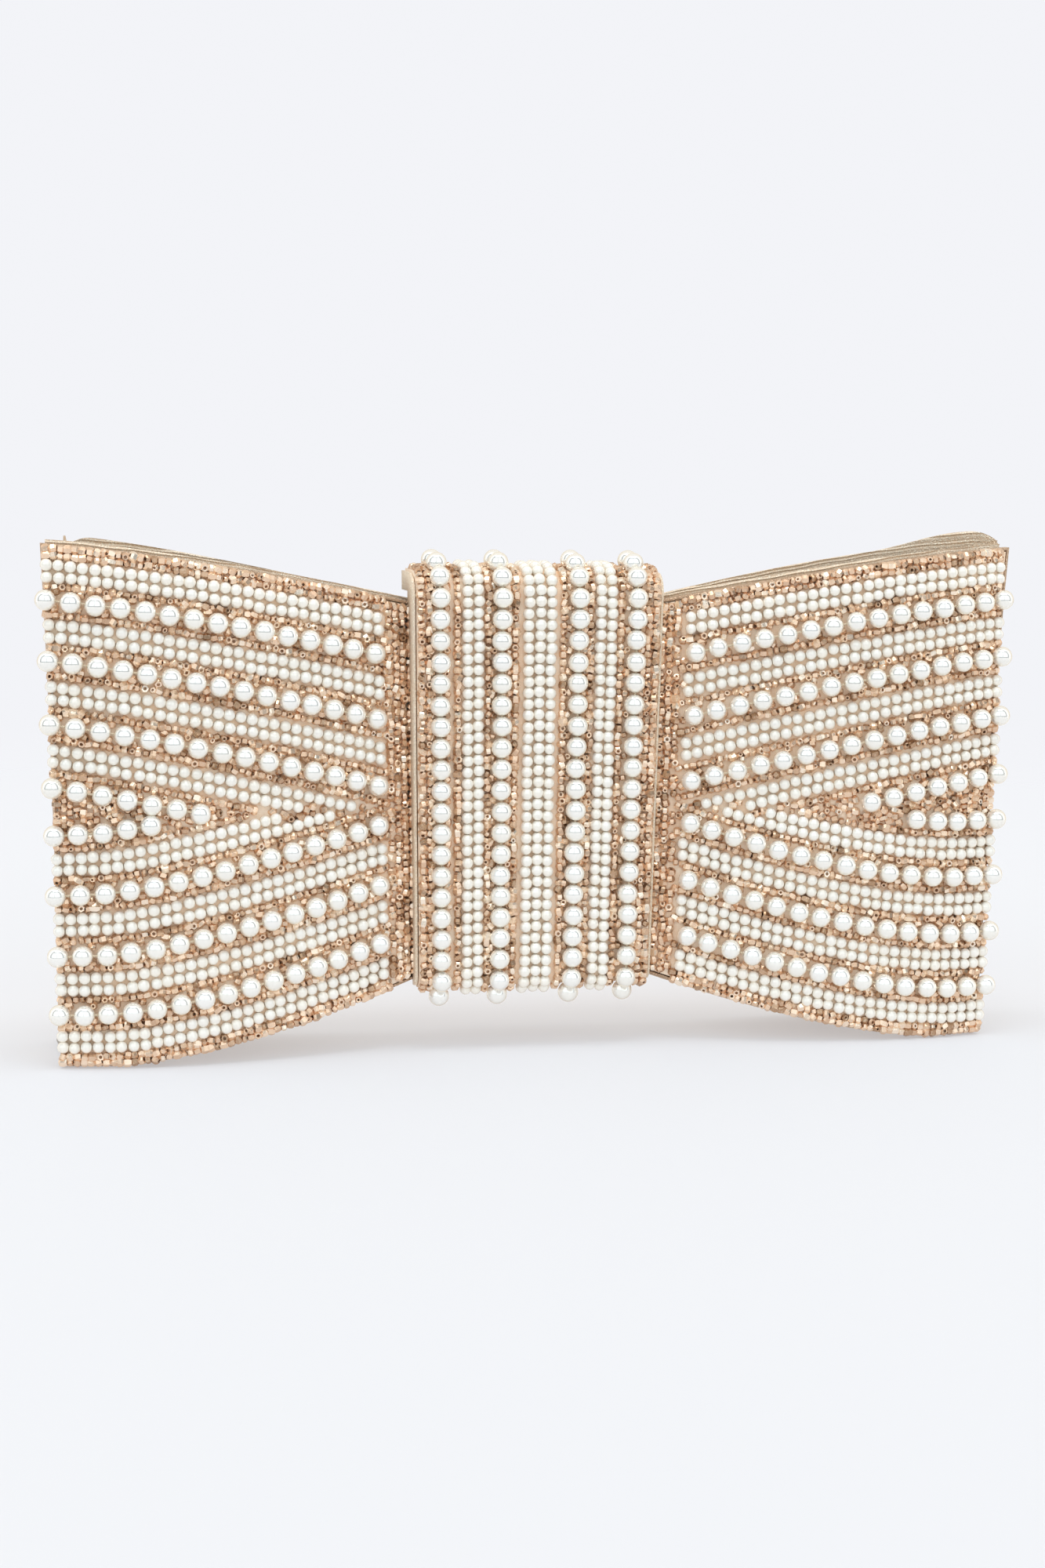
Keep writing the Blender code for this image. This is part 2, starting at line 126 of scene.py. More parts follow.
# %% A finish and its nodes
class Finish:
    """A material under construction."""

    def __init__(self, name, tree=None):
        if tree is None:
            self.material = bpy.data.materials.new(name)
            self.material.use_nodes = True
            tree = self.material.node_tree
        self.tree = tree
        self.tree.nodes.clear()

    def node(self, kind, settings=None, sockets=None, output=0):
        """Add a node: its settings first, then the values or links of its sockets."""
        made = self.tree.nodes.new(kind)
        for name, value in (settings or {}).items():
            if name == "stops":
                stops = made.color_ramp.elements
                for i, (place, colour) in enumerate(value):
                    stop = stops[i] if i < 2 else stops.new(place)
                    stop.position = place
                    stop.color = (*colour, 1)
            else:
                setattr(made, name, value)
        for name, value in (sockets or {}).items():
            if isinstance(value, Grain):
                self.tree.links.new(value.socket, made.inputs[name])
            else:
                made.inputs[name].default_value = value
        return Grain(self, made.outputs[output]) if made.outputs else None

    def place(self):
        """Where a point lies on the clutch at rest, in metres."""
        return self.node("ShaderNodeTexCoord", output="Object")

    def tone(self):
        """The number stored with each bead, by which no two look alike."""
        return self.node("ShaderNodeAttribute", {"attribute_name": "tone"}, {}, "Fac")

    def cloud(self, at, size, detail=3, rough=0.55):
        """Soft variation with patches of about this size, from 0 to 1."""
        return self.node("ShaderNodeTexNoise", {}, {
            "Vector": at, "Scale": 1 / size, "Detail": detail, "Roughness": rough}, "Fac")

    def streaks(self, at, stretch, detail):
        """Noise drawn out along one direction."""
        drawn = self.node("ShaderNodeMapping", {}, {"Vector": at, "Scale": stretch})
        return self.node("ShaderNodeTexNoise", {},
                         {"Vector": drawn, "Scale": 1.0, "Detail": detail}, "Fac")

    def tint(self, share, a, b):
        """Colour a where share is 0 and b where it is 1."""
        colours = {0: share, 6: a if isinstance(a, Grain) else (*a, 1),
                   7: b if isinstance(b, Grain) else (*b, 1)}
        return self.node("ShaderNodeMix", {"data_type": "RGBA"}, colours, 2)

    def bump(self, height, depth, strength):
        """A relief as deep as depth, in metres, where height runs from 0 to 1."""
        return self.node("ShaderNodeBump", {}, {
            "Height": height, "Distance": depth, "Strength": strength}, "Normal")

    def surface(self, **sockets):
        """The Principled shader and the output. Underscores in names stand for spaces."""
        shader = self.node("ShaderNodeBsdfPrincipled", {}, {
            name.replace("_", " "): value for name, value in sockets.items()})
        self.node("ShaderNodeOutputMaterial", {}, {"Surface": shader})
        return self.material


print("shader sums ready")

# %% [markdown]
# ## Pebbled metallic leatherette
#
# The bindings, the covers and the strips round the mouth are a foil-faced leatherette: a thin
# metallic skin embossed with small pebbles. The colour is painted lighter on each pebble's crown,
# a painted highlight, and brown in the grooves, painted shade. The distance to the nearest seam
# of a cell texture gives crowns and grooves at the right scale, about a millimetre. The cells are
# pushed about by noise first, so no seam runs straight, and a broad soft cloud paints paler
# patches of painted sheen and varies the metal and the gloss, which keeps the foil from looking
# printed.

# %% Leatherette
LEATHER_RELIEF = 0.16 * MM
SEAM_STRAY = 0.4 * MM


def leatherette(name, crown, groove, painted_sheen, pebble, metal, rough=0.36):
    finish = Finish(name)
    at = finish.place()
    warp = finish.cloud(at, 2.2 * MM, 2)
    push = finish.node("ShaderNodeTexNoise", {}, {"Vector": at, "Scale": 700}, "Color")
    strayed = finish.node("ShaderNodeVectorMath", {"operation": "MULTIPLY_ADD"},
                          {0: push, 1: (SEAM_STRAY,) * 3, 2: at}, "Vector")
    seams = finish.node("ShaderNodeTexVoronoi", {"feature": "DISTANCE_TO_EDGE"}, {
        "Vector": strayed, "Scale": 1 / (pebble * MM), "Randomness": 1.0}, "Distance")
    crowns = (seams + (warp - 0.5) * 0.1).above(0.0, 0.3)
    fine = finish.cloud(at, 0.22 * MM, 2)
    broad = finish.cloud(at, 30 * MM, 4)
    # Lighter crowns are a painted highlight and browner grooves are painted shade.
    foil = finish.tint(crowns * 0.75 + warp * 0.25, groove, crown)
    # The broad cloud paints paler patches into the colour, a painted sheen, and also varies
    # metallic, roughness and relief.
    return finish.surface(
        Base_Color=finish.tint(broad.above(0.35, 0.8) * 0.35, foil, painted_sheen),
        Metallic=metal + (broad - 0.5) * 0.25,
        Roughness=rough + (1 - crowns) * 0.14 + (fine + broad - 1) * 0.1,
        Coat_Weight=0.12, Coat_Roughness=0.3,
        Normal=finish.bump(crowns + fine * 0.2 + broad * 0.12, LEATHER_RELIEF, 0.85))


# Colours of each: crown with painted highlight, groove with painted shade, paler patches of
# painted sheen.
CHAMPAGNE = leatherette("champagne_leatherette", (0.86, 0.67, 0.48), (0.50, 0.33, 0.20),
                        (0.92, 0.77, 0.60), pebble=1.3, metal=0.68, rough=0.25)
PALE_CHAMPAGNE = leatherette("pale_champagne_edge", (1.0, 0.87, 0.68), (0.84, 0.63, 0.44),
                             (1.0, 0.94, 0.82), pebble=0.8, metal=0.2)
ROSE_GOLD = leatherette("rose_gold_leatherette", (0.72, 0.50, 0.34), (0.38, 0.24, 0.14),
                        (0.86, 0.67, 0.49), pebble=0.9, metal=0.55)
print("leatherette:", CHAMPAGNE.name, PALE_CHAMPAGNE.name, ROSE_GOLD.name)

# %% [markdown]
# ## The cloth under the beads
#
# The beads are sewn to a blush cloth that shows between them. It is a plain weave: threads over
# and under at a third of a millimetre. Two bands of waves at right angles, one for each set of
# threads, give that weave, painted darker between the threads as painted shade, and a cloud
# paints lighter, warmer patches of painted glow here and there.

# %% Blush bead cloth
THREAD_PITCH = 0.34 * MM
WAVES_IN_A_UNIT = 3.18


def woven(name, thread, shade, glow):
    finish = Finish(name)
    at = finish.place()
    warps, wefts = (finish.node("ShaderNodeTexWave", {"bands_direction": direction}, {
        "Vector": at, "Scale": 1 / (THREAD_PITCH * WAVES_IN_A_UNIT), "Distortion": 0.6,
        "Detail": 1}, "Fac") for direction in "XZ")
    weave = warps * 0.5 + wefts * 0.5
    # A cloud that paints patches of glow into the colour, painted light, and varies the
    # roughness.
    glow_cloud = finish.cloud(at, 6 * MM, 4)
    # The darker colour between the threads is painted shade.
    colour = finish.tint(weave.above(0.15, 0.75), shade, thread)
    return finish.surface(
        Base_Color=finish.tint(glow_cloud.above(0.42, 0.7) * 0.6, colour, glow),
        Roughness=0.72 + (glow_cloud - 0.5) * 0.2,
        Sheen_Weight=0.25, Sheen_Roughness=0.4, Sheen_Tint=(1.0, 0.9, 0.8, 1),
        Normal=finish.bump(weave, 0.05 * MM, 0.7))


# Colours: the thread, its painted shade between threads, and the painted glow.
BLUSH_CLOTH = woven("blush_bead_cloth", (0.98, 0.76, 0.56), (0.88, 0.60, 0.40),
                    (0.99, 0.85, 0.69))
print("cloth:", BLUSH_CLOTH.name)

# %% [markdown]
# Satin floats most of its threads on one side, so it has no grid to see: it shines along the
# thread and carries faint streaks. Stretched noise gives the streaks, and the gloss is turned
# along them.

# %% Satin lining
def satin(name, light, deep):
    finish = Finish(name)
    at = finish.place()
    streaks = finish.streaks(at, (900, 900, 7000), 2)
    # This cloud shapes soft folds in the bump and paints the colour deeper in their hollows:
    # painted shade.
    folds = finish.cloud(at, 22 * MM, 3)
    return finish.surface(
        Base_Color=finish.tint(folds.above(0.3, 0.75), deep, light),
        Roughness=0.34 + streaks * 0.16, Anisotropic=0.5,
        Sheen_Weight=0.3, Sheen_Tint=(1.0, 0.93, 0.84, 1),
        Normal=finish.bump(streaks * 0.4 + folds, 0.12 * MM, 0.6))


# The deeper colour is the painted shade in the folds.
SATIN = satin("champagne_satin", (0.84, 0.73, 0.61), (0.66, 0.53, 0.41))
print("lining:", SATIN.name)

# %% [markdown]
# ## Pearls
#
# An imitation pearl is a white bead dipped many times in a pearly lacquer. Two things make it
# read as pearl: a milky body, and a skin that mirrors the whole room. The skin's flakes reflect
# like a thin metal, so the body is part diffuse and part metallic under a clear coat. The rim of
# a real pearl goes warm, because light runs further through the lacquer there, and a cream sheen
# does the same. The small pearls are rubbed by the needle and mirror less.

# %% Pearl lacquers
def pearl(name, milk, cream, mirror, body_rough, sheen):
    finish = Finish(name)
    lacquer = finish.cloud(finish.place(), 1.1 * MM, 2)
    return finish.surface(
        Base_Color=finish.tint(finish.tone() * 0.7 + lacquer * 0.3, milk, cream),
        Metallic=mirror, Roughness=body_rough + (lacquer - 0.5) * 0.03,
        Specular_Tint=(1.0, 0.88, 0.66, 1),
        Coat_Weight=0.8, Coat_Roughness=0.03, Coat_IOR=1.6, Coat_Tint=(1.0, 0.985, 0.95, 1),
        Sheen_Weight=sheen, Sheen_Roughness=0.3, Sheen_Tint=(1.0, 0.8, 0.52, 1),
        Normal=finish.bump(lacquer, 0.02 * MM, 0.12))


LARGE_PEARL = pearl("large_pearl_lacquer", (0.975, 0.965, 0.95), (0.975, 0.945, 0.89),
                    mirror=0.5, body_rough=0.06, sheen=0.42)
SMALL_PEARL = pearl("small_pearl_lacquer", (0.99, 0.96, 0.915), (0.985, 0.925, 0.84),
                    mirror=0.22, body_rough=0.2, sheen=0.25)
print("pearls:", LARGE_PEARL.name, SMALL_PEARL.name)

# %% [markdown]
# Sewing thread is twisted from finer strands. Diagonal waves give the twist, and paint each
# strand lighter, a painted highlight, and the groove between two darker, painted shade.

# %% Thread
def thread_finish(name, light, deep):
    finish = Finish(name)
    twist = finish.node("ShaderNodeTexWave", {"bands_direction": "DIAGONAL"}, {
        "Vector": finish.place(), "Scale": 1600, "Distortion": 1.0}, "Fac")
    # Lighter strands are a painted highlight, darker grooves between them painted shade.
    return finish.surface(Base_Color=finish.tint(twist, deep, light), Roughness=0.55,
                          Sheen_Weight=0.4, Normal=finish.bump(twist, 0.05 * MM, 0.6))


THREAD = thread_finish("gold_sewing_thread", (0.86, 0.70, 0.50), (0.55, 0.40, 0.25))
print("thread:", THREAD.name)

# %% [markdown]
# ## Rose gold cut beads
#
# Between the pearls run rows of short cut tubes of rose gold glass, each with a few flat facets.
# They are plated, so the shader is mostly metallic, and every bead came out of the bath a little
# different: the tone stored on each bead picks its own gold, from brown to nearly cream.

# %% Plated bead finish
def plated(name):
    finish = Finish(name)
    gold = finish.node("ShaderNodeValToRGB", {"stops": (
        (0.0, (0.48, 0.30, 0.18)), (1.0, (0.98, 0.82, 0.66)), (0.28, (0.72, 0.48, 0.32)),
        (0.62, (0.90, 0.65, 0.46)))}, {"Fac": finish.tone()}, "Color")
    # A cloud of rubbed plating: rougher there, and painted paler in colour, a painted highlight.
    rub_and_highlight = finish.cloud(finish.place(), 0.6 * MM, 3)
    return finish.surface(
        Base_Color=finish.tint(rub_and_highlight.above(0.5, 0.75) * 0.4, gold, (0.94, 0.79, 0.63)),
        Metallic=0.82, Roughness=0.14 + rub_and_highlight * 0.14,
        Normal=finish.bump(rub_and_highlight, 0.06 * MM, 0.4))


PLATING = plated("rose_gold_plating")
print("plating:", PLATING.name)

# %% [markdown]
# The snap is gilt brass with the fine lines that polishing leaves, and the boards are grey card
# whose short fibres show at a cut edge.

# %% Gilt brass and card
def gilt(name, light, deep):
    finish = Finish(name)
    at = finish.place()
    lines = finish.streaks(at, (9000, 900, 2500), 3)
    haze = finish.cloud(at, 3 * MM, 3)
    return finish.surface(Base_Color=finish.tint(haze, deep, light), Metallic=1.0,
                          Roughness=0.12 + lines * 0.12 + haze * 0.05,
                          Normal=finish.bump(lines, 0.01 * MM, 0.3))


def card(name, deep, light):
    finish = Finish(name)
    fibre = finish.cloud(finish.place(), 0.6 * MM, 5, 0.7)
    return finish.surface(Base_Color=finish.tint(fibre, deep, light), Roughness=0.88,
                          Normal=finish.bump(fibre, 0.08 * MM, 0.6))


GILT = gilt("polished_gilt", (0.93, 0.76, 0.48), (0.80, 0.60, 0.34))
GREYBOARD = card("greyboard_core", (0.34, 0.30, 0.26), (0.48, 0.44, 0.39))
print("metal and card:", GILT.name, GREYBOARD.name)

# %% [markdown]
# ## The curves of the bow
#
# Both panels, the base and the beads follow a few curves: how high the top edge stands, how far
# the base arches, and how far each panel swells from the middle. A share t runs from the knot,
# 0, to the bow's outer end, 1. Writing the curves again here lets the finer surfaces sit exactly
# where the solid model has its coarse ones.

# %% Outline of the bow
HEIGHT = 150 * MM
HALF_WIDTH_BASE, HALF_WIDTH_TOP = 140.5 * MM, 144.5 * MM
WAIST_BASE, WAIST_TOP = 20.7 * MM, 133 * MM
KNOT_HALF_BASE, KNOT_HALF_TOP = 34.6 * MM, 37.3 * MM
WAIST_SHARE = 0.1
ARCH_END = 0.87
SHIFT_Y = 6.5 * MM


def lerp(a, b, share):
    return a + (b - a) * share


def knot_half(z):
    return lerp(KNOT_HALF_BASE, KNOT_HALF_TOP, z / HEIGHT)


def outer_half(z):
    return lerp(HALF_WIDTH_BASE, HALF_WIDTH_TOP, z / HEIGHT)


def wing_share(x, z):
    return (x - knot_half(z)) / (outer_half(z) - knot_half(z))


def top_edge(t):
    return HEIGHT - (HEIGHT - WAIST_TOP) * max(0.0, 1 - t) ** 1.35


def base_edge(t):
    return WAIST_BASE * max(0.0, (ARCH_END - t) / ARCH_END) ** 1.5


print("wing from", round(knot_half(HEIGHT / 2) / MM, 1), "to",
      round(outer_half(HEIGHT / 2) / MM, 1), "mm")


# %% Depth of both panels
def waist_face(z):
    return 10 * MM - 4.2 * MM * z / HEIGHT


def front_face(t, z):
    swell = (25.7 * t - 6.5 * t ** 2 - 10.3 * t ** 4) * MM
    return -(waist_face(z) + swell + 2.5 * MM * math.sin(math.pi * z / HEIGHT) * t * (2 - t))


def back_face(t, z):
    swell = (14 * t - 6 * t ** 2 - 3 * t ** 4) * MM
    belly = 1.5 * MM * math.sin(math.pi * z / HEIGHT) * t * (2 - t)
    return waist_face(z) + swell + belly - 10 * MM * t ** 3 * (z / HEIGHT) ** 2


def tuck(p, z, back):
    """How far an outer edge is drawn in. The upper corners flare, the right one more."""
    climb = z / HEIGHT
    if back:
        return (2.4 + 3.2 * climb ** 2 if p < 0 else -6.2 * climb ** 4) * MM
    return (-0.9 if p < 0 else -3.4) * climb ** 4 * MM


def back_rise(p, t):
    """How far the back stands above the front: more on the right, where the mouth gapes."""
    rounded = 3.4 * max(0, (t - 0.92) / 0.08) ** 2
    if p < 0:
        return (-0.9 + 1.7 * t ** 2 - rounded) * MM
    gape = min(1.0, max(0.0, (t - 0.66) / 0.24))
    return (-0.6 + 1.7 * t + 2.9 * gape ** 2 * (3 - 2 * gape) - rounded) * MM


def on_bow(p, v, back, inset, over=0):
    """x, z and share t of a point: p runs from -1 to 1 along the bow, v from base to top."""
    reach = abs(p)
    t = max(0.0, (reach - WAIST_SHARE) / (1 - WAIST_SHARE))
    low = base_edge(t) + (1.6 if back else 0.4) * MM + inset
    high = top_edge(t) + (back_rise(p, t) if back else 0) + (over or -inset)
    z = lerp(low, high, v)
    outer = outer_half(z) - inset - tuck(p, z, back)
    if reach > WAIST_SHARE:
        x = lerp(knot_half(z), outer, t)
    else:
        x = knot_half(z) * reach / WAIST_SHARE
    return math.copysign(x, p), z, t


print("depth at the outer foot", round((back_face(1, 0) - front_face(1, 0)) / MM, 1), "mm")

# %% [markdown]
# ## Cutting a piece
#
# Every leatherette or cloth piece here is a fine grid bent onto the bow's curves and then given
# its thickness. A bevel modifier rounds the cut edges, because a sharp edge catches no light,
# and real leatherette never has one.

# %% Helpers that make pieces
WELD = 0.004 * MM
CUT_ROUND = 0.18 * MM


def link(piece, body, finish, stands_for=()):
    bpy.context.scene.collection.objects.link(piece)
    piece.data.materials.append(finish)
    if stands_for:
        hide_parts(*stands_for)
    if body:
        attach(piece, body)
    return piece


def bent_grid(columns, rows, position):
    bm = bmesh.new()
    bmesh.ops.create_grid(bm, x_segments=columns, y_segments=rows, size=1.0)
    for vert in bm.verts:
        x, y, z = position((vert.co.x + 1) / 2, (vert.co.y + 1) / 2)
        vert.co = (x, y + SHIFT_Y, z)
    return bm


def thicken(bm, offset):
    grown = bmesh.ops.extrude_face_region(bm, geom=bm.faces[:])
    fresh = [item for item in grown["geom"] if isinstance(item, bmesh.types.BMVert)]
    bmesh.ops.translate(bm, verts=fresh, vec=offset)


def solid_piece(name, bm, body, finish, stands_for, round_edge=CUT_ROUND):
    bmesh.ops.recalc_face_normals(bm, faces=bm.faces[:])
    mesh = bpy.data.meshes.new(name)
    bm.to_mesh(mesh)
    bm.free()
    mesh.shade_smooth()
    piece = link(bpy.data.objects.new(name, mesh), body, finish, stands_for)
    if round_edge:
        bevel = piece.modifiers.new("rounded_cut", "BEVEL")
        bevel.width = round_edge
        bevel.segments = 2
        bevel.limit_method = "ANGLE"
        bevel.angle_limit = math.radians(50)
        bevel.harden_normals = True
    return piece


def ring_piece(name, columns, ring, position, body, finish, stands_for, round_edge=0):
    """A closed form swept through columns: position bends each point of the ring in section."""
    def swept(u, v):
        return position(u, *ring[round(v * len(ring)) % len(ring)])

    bm = bent_grid(columns, len(ring), swept)
    bmesh.ops.remove_doubles(bm, verts=bm.verts[:], dist=WELD)
    bmesh.ops.holes_fill(bm, edges=[e for e in bm.edges if e.is_boundary], sides=0)
    return solid_piece(name, bm, body, finish, stands_for, round_edge)


print("helpers ready")


# %% A sheet on one panel
def panel_piece(name, back, near, far, finish, stands_for, span=(-1, 1), rise=(0, 1),
                inset=1.3 * MM, over=0, columns=160, rows=48, wave=None, crowd=1.0):
    """A sheet on one panel, from near to far behind its board's outer face.

    Where crowd is above 1 the grid's rows crowd towards the top edge.
    """
    face = back_face if back else front_face
    inward = -1 if back else 1

    def position(u, v):
        height = lerp(*rise, 1 - (1 - v) ** crowd)
        x, z, t = on_bow(lerp(*span, u), height, back, inset, over)
        lift = wave(x, z, t) if wave else 0
        return x, face(t, z) + inward * (near + lift), z

    bm = bent_grid(columns, rows, position)
    thicken(bm, (0, inward * (far - near), 0))
    return solid_piece(name, bm, "back" if back else "front", finish, stands_for)


print("a sheet follows its panel from base to top edge")

# %% [markdown]
# ## Cloth, covers, boards, facings and linings
#
# The front carries the blush cloth. The plain back is one sheet of leatherette that is drawn in
# a little where the knot holds it, so shallow gathers run out from there. Both are stretched
# over boards. Behind them stand the facings, strips of pale leatherette that finish the mouth:
# they are pleated lengthwise and show as bright lines above the beaded edge. Below the facings
# hang the satin linings, a little slack.

# %% How each sheet gathers, pleats or hangs
def gathers(x, z, t):
    """Shallow folds that start at the knot and die out along the wing."""
    fade = math.exp(-((t - 0.05) / 0.22) ** 2) * min(1.0, t * 9)
    return 0.38 * MM * fade * math.sin(z / MM * 0.52 + 2.2 * math.sin(z / MM * 0.11) + 5 * t)


def pleats(x, z, t):
    """Lengthwise pleats of the mouth's facing, which follow the top edge."""
    down = (top_edge(t) - z) / MM + 0.3 * math.sin(x * 60) + 0.12 * math.sin(x * 410)
    ridge = 0.3 * abs(2 * ((down / 1.3) % 1) - 1) + 0.12 * math.sin(down * 7.1 + x * 30)
    return ridge * MM * min(1.0, max(0.0, (11 - down) / 3))


def slack(x, z, t):
    """The looser hang of a lining."""
    return 0.22 * MM * noise.noise(Vector((x * 55, z * 38, 0.3)))


print("deepest gather", round(max(gathers(0, z * MM, 0.15) for z in range(150)) / MM, 2), "mm")

for side, span in (("left", (-1, -0.116)), ("right", (0.116, 1))):
    panel_piece(f"{side}_wing_cloth", False, -0.5 * MM, -2.4 * MM, BLUSH_CLOTH,
                [f"bead_cloth_{side}"], span=span, columns=90, rows=60)
panel_piece("back_leatherette", True, -0.3 * MM, -1.2 * MM, CHAMPAGNE, ["back_cover"],
            wave=gathers, columns=220, rows=70)
for back, half in ((False, "front"), (True, "back")):
    panel_piece(f"{half}_greyboard", back, -0.4 * MM, 2.2 * MM, GREYBOARD,
                [f"{half}_board"], inset=2.2 * MM)
    panel_piece(f"{half}_mouth_facing", back, 2.3 * MM, 3.1 * MM, PALE_CHAMPAGNE,
                [f"{half}_facing"], rise=(0.75, 1), inset=1.6 * MM, over=0.9 * MM,
                columns=220, rows=84, wave=pleats, crowd=2.4)
    panel_piece(f"{half}_satin", back, 2.3 * MM, 2.9 * MM, SATIN, [f"{half}_lining"],
                rise=(0.03, 0.746), wave=slack, rows=40)
print("panels dressed")

# %% [markdown]
# ## Edge bindings
#
# Each panel's edge is wrapped in a narrow strip, turned over both faces. A strip like that is a
# small profile carried along the outline. Here the outline is walked once round, and at each
# step the profile's points, rounded at the fold, are set square to the edge.

# %% Bindings round both panels
def binding_profile(out=2.0 * MM, inwards=1.8 * MM, wide=0.9 * MM):
    """How far in from the edge and how deep behind the face each point of the strip lies."""
    turn, blunt, nick = 0.42 * MM, 0.12 * MM, 0.1 * MM
    return [(turn, -out), (blunt, blunt - out), (0, turn - out), (0, 0), (0, inwards - turn),
            (blunt, inwards - blunt), (turn, inwards), (wide - nick, inwards),
            (wide, inwards - nick), (wide, nick - out), (wide - nick, -out)]


def binding(name, back, finish, stands_for):
    face = back_face if back else front_face
    inward = -1 if back else 1
    across, up = 150, 60
    along = [lerp(-1, 1, i / across) for i in range(across)]
    climb = [i / up for i in range(up)]
    route = [(p, 0) for p in along] + [(1, v) for v in climb]
    route += [(-p, 1) for p in along] + [(-1, 1 - v) for v in climb]

    def position(u, inset, depth):
        p, rise = route[round(u * len(route)) % len(route)]
        x, z, t = on_bow(p, rise, back, inset)
        pucker = 0.07 * MM * math.sin(x / MM * 1.9) * math.sin(z / MM * 1.7)
        return x, face(t, z) + inward * depth + pucker, z

    return ring_piece(name, len(route), binding_profile(), position,
                      "back" if back else "front", finish, stands_for)


binding("front_binding", False, ROSE_GOLD, ["front_edge_binding"])
binding("back_binding", True, CHAMPAGNE, ["back_edge_binding"])
print("bindings turned over")

# %% [markdown]
# ## Base, pocket and folded ends
#
# The base is an arched strip between the panels, lined inside, and a slip pocket is sewn to the
# back's lining. Each end is closed by a sheet that folds inwards along its middle, as a file
# folder's does. It is shaped between the panels as they stand closed, and belongs to neither of
# them. Both panels lean together towards the mouth, and the lean of the fold's axis is worked out
# from the back's lining at its foot and its head.

# %% Base and slip pocket
def base_piece(name, edge_gap, low, high, finish, stands_for):
    def position(u, v):
        p = lerp(-1, 1, u)
        t = max(0.0, (abs(p) - WAIST_SHARE) / (1 - WAIST_SHARE))
        z = base_edge(t)
        outer = outer_half(z) - 1.3 * MM - (2.4 * MM * v if p < 0 else 0)
        x = lerp(knot_half(z), outer, t) if t > 0 else knot_half(z) * abs(p) / WAIST_SHARE
        y = lerp(front_face(t, z) + edge_gap, back_face(t, z) - edge_gap, v)
        return math.copysign(x, p), y, z + low

    bm = bent_grid(160, 12, position)
    thicken(bm, (0, 0, high - low))
    return solid_piece(name, bm, "back", finish, stands_for)


base_piece("base_leatherette", 0.3 * MM, 0, 0.9 * MM, CHAMPAGNE, ["base_cover"])
base_piece("base_satin", 3.6 * MM, 3.1 * MM, 3.7 * MM, SATIN, ["base_lining"])
POCKET = (lerp(WAIST_SHARE, 1, 2 / 9), lerp(WAIST_SHARE, 1, 7 / 9))
panel_piece("pocket_satin", True, 3.3 * MM, 3.9 * MM, SATIN, ["slip_pocket"],
            span=POCKET, rise=(0.06, 0.5), columns=60, rows=30)
panel_piece("pocket_edge", True, 3.3 * MM, 4.1 * MM, CHAMPAGNE,
            ["slip_pocket_binding"], span=POCKET, rise=(0.503, 0.53), columns=60, rows=3)
print("base and pocket in place")

# %% Folded ends
END_LOW, END_HIGH = 4.4 * MM, HEIGHT - 1 * MM
END_THICK = 0.6 * MM
LINING_DEPTH = 3.6 * MM


def end_position(side, u, v):
    """A point of a folded end: u runs from the front to the back, v from base to top."""
    z = lerp(END_LOW, END_HIGH, v) + 2.6 * MM * u * v ** 8
    drawn = lerp(tuck(side, z, False), tuck(side, z, True), u)
    crease = 1 - abs(2 * u - 1)
    depth = lerp(9, 3.2, max(0, (v - 0.8) / 0.2) ** 2) * MM
    fold = depth * (crease - 0.12 * math.exp(-((u - 0.5) / 0.06) ** 2))
    ripple = 0.35 * MM * math.sin(math.pi * min(1, crease * 1.6)) \
        * noise.noise(Vector((u * 3.1, z * 95, side * 4.0)))
    x = outer_half(z) - 1.7 * MM - drawn - fold + ripple
    y = lerp(front_face(1, z) + 2.8 * MM, back_face(1, z) - 2.7 * MM, u)
    return side * x, y, z


def folded_end(side, label):
    bm = bent_grid(36, 90, lambda u, v: end_position(side, u, v))
    long = END_HIGH - END_LOW
    wide = sum(face.calc_area() for face in bm.faces) / long
    thicken(bm, (side * END_THICK, 0, 0))
    piece = solid_piece(f"{label}_folded_end", bm, None, CHAMPAGNE,
                        [f"end_gusset_{label}"], round_edge=0)
    foot, head = (back_face(1, z) - LINING_DEPTH for z in (END_LOW, END_HIGH))
    lean = math.atan2(foot - head, long)
    axis = Vector((0, math.cos(lean), math.sin(lean)))
    start = axis * axis.dot(Vector((0, front_face(1, END_HIGH) + LINING_DEPTH, END_HIGH)))
    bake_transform(piece)
    print(label, "end, cut", round(wide / MM, 1), "by", round(long / MM, 1), "mm")


folded_end(-1, "left")
folded_end(1, "right")

# %% [markdown]
# ## The knot
#
# The knot is bent over the waist from base to top, half of it on the front and half on the back.
# Its outline from the side is a face with two rounded corners, and every layer and every bead
# column on it is that outline grown by some distance. The front half is a leatherette core under
# beaded cloth, and its edges carry a narrow gold strip with a bright ridge. The back half is
# plain leatherette in three soft folds.

# %% Outline of the knot
KNOT_FACE = 14.9 * MM
KNOT_FOOT, KNOT_HEAD = 20.6 * MM, 140.5 * MM
KNOT_UNDER = -11.9 * MM
INNER_HEAD, INNER_FACE = 136.2 * MM, -8.6 * MM
PARTING = -0.4 * MM


def arc(centre, radius, start, end, steps):
    points = []
    for i in range(steps + 1):
        angle = math.radians(lerp(start, end, i / steps))
        points.append((centre[0] + radius * math.cos(angle),
                       centre[1] + radius * math.sin(angle)))
    return points


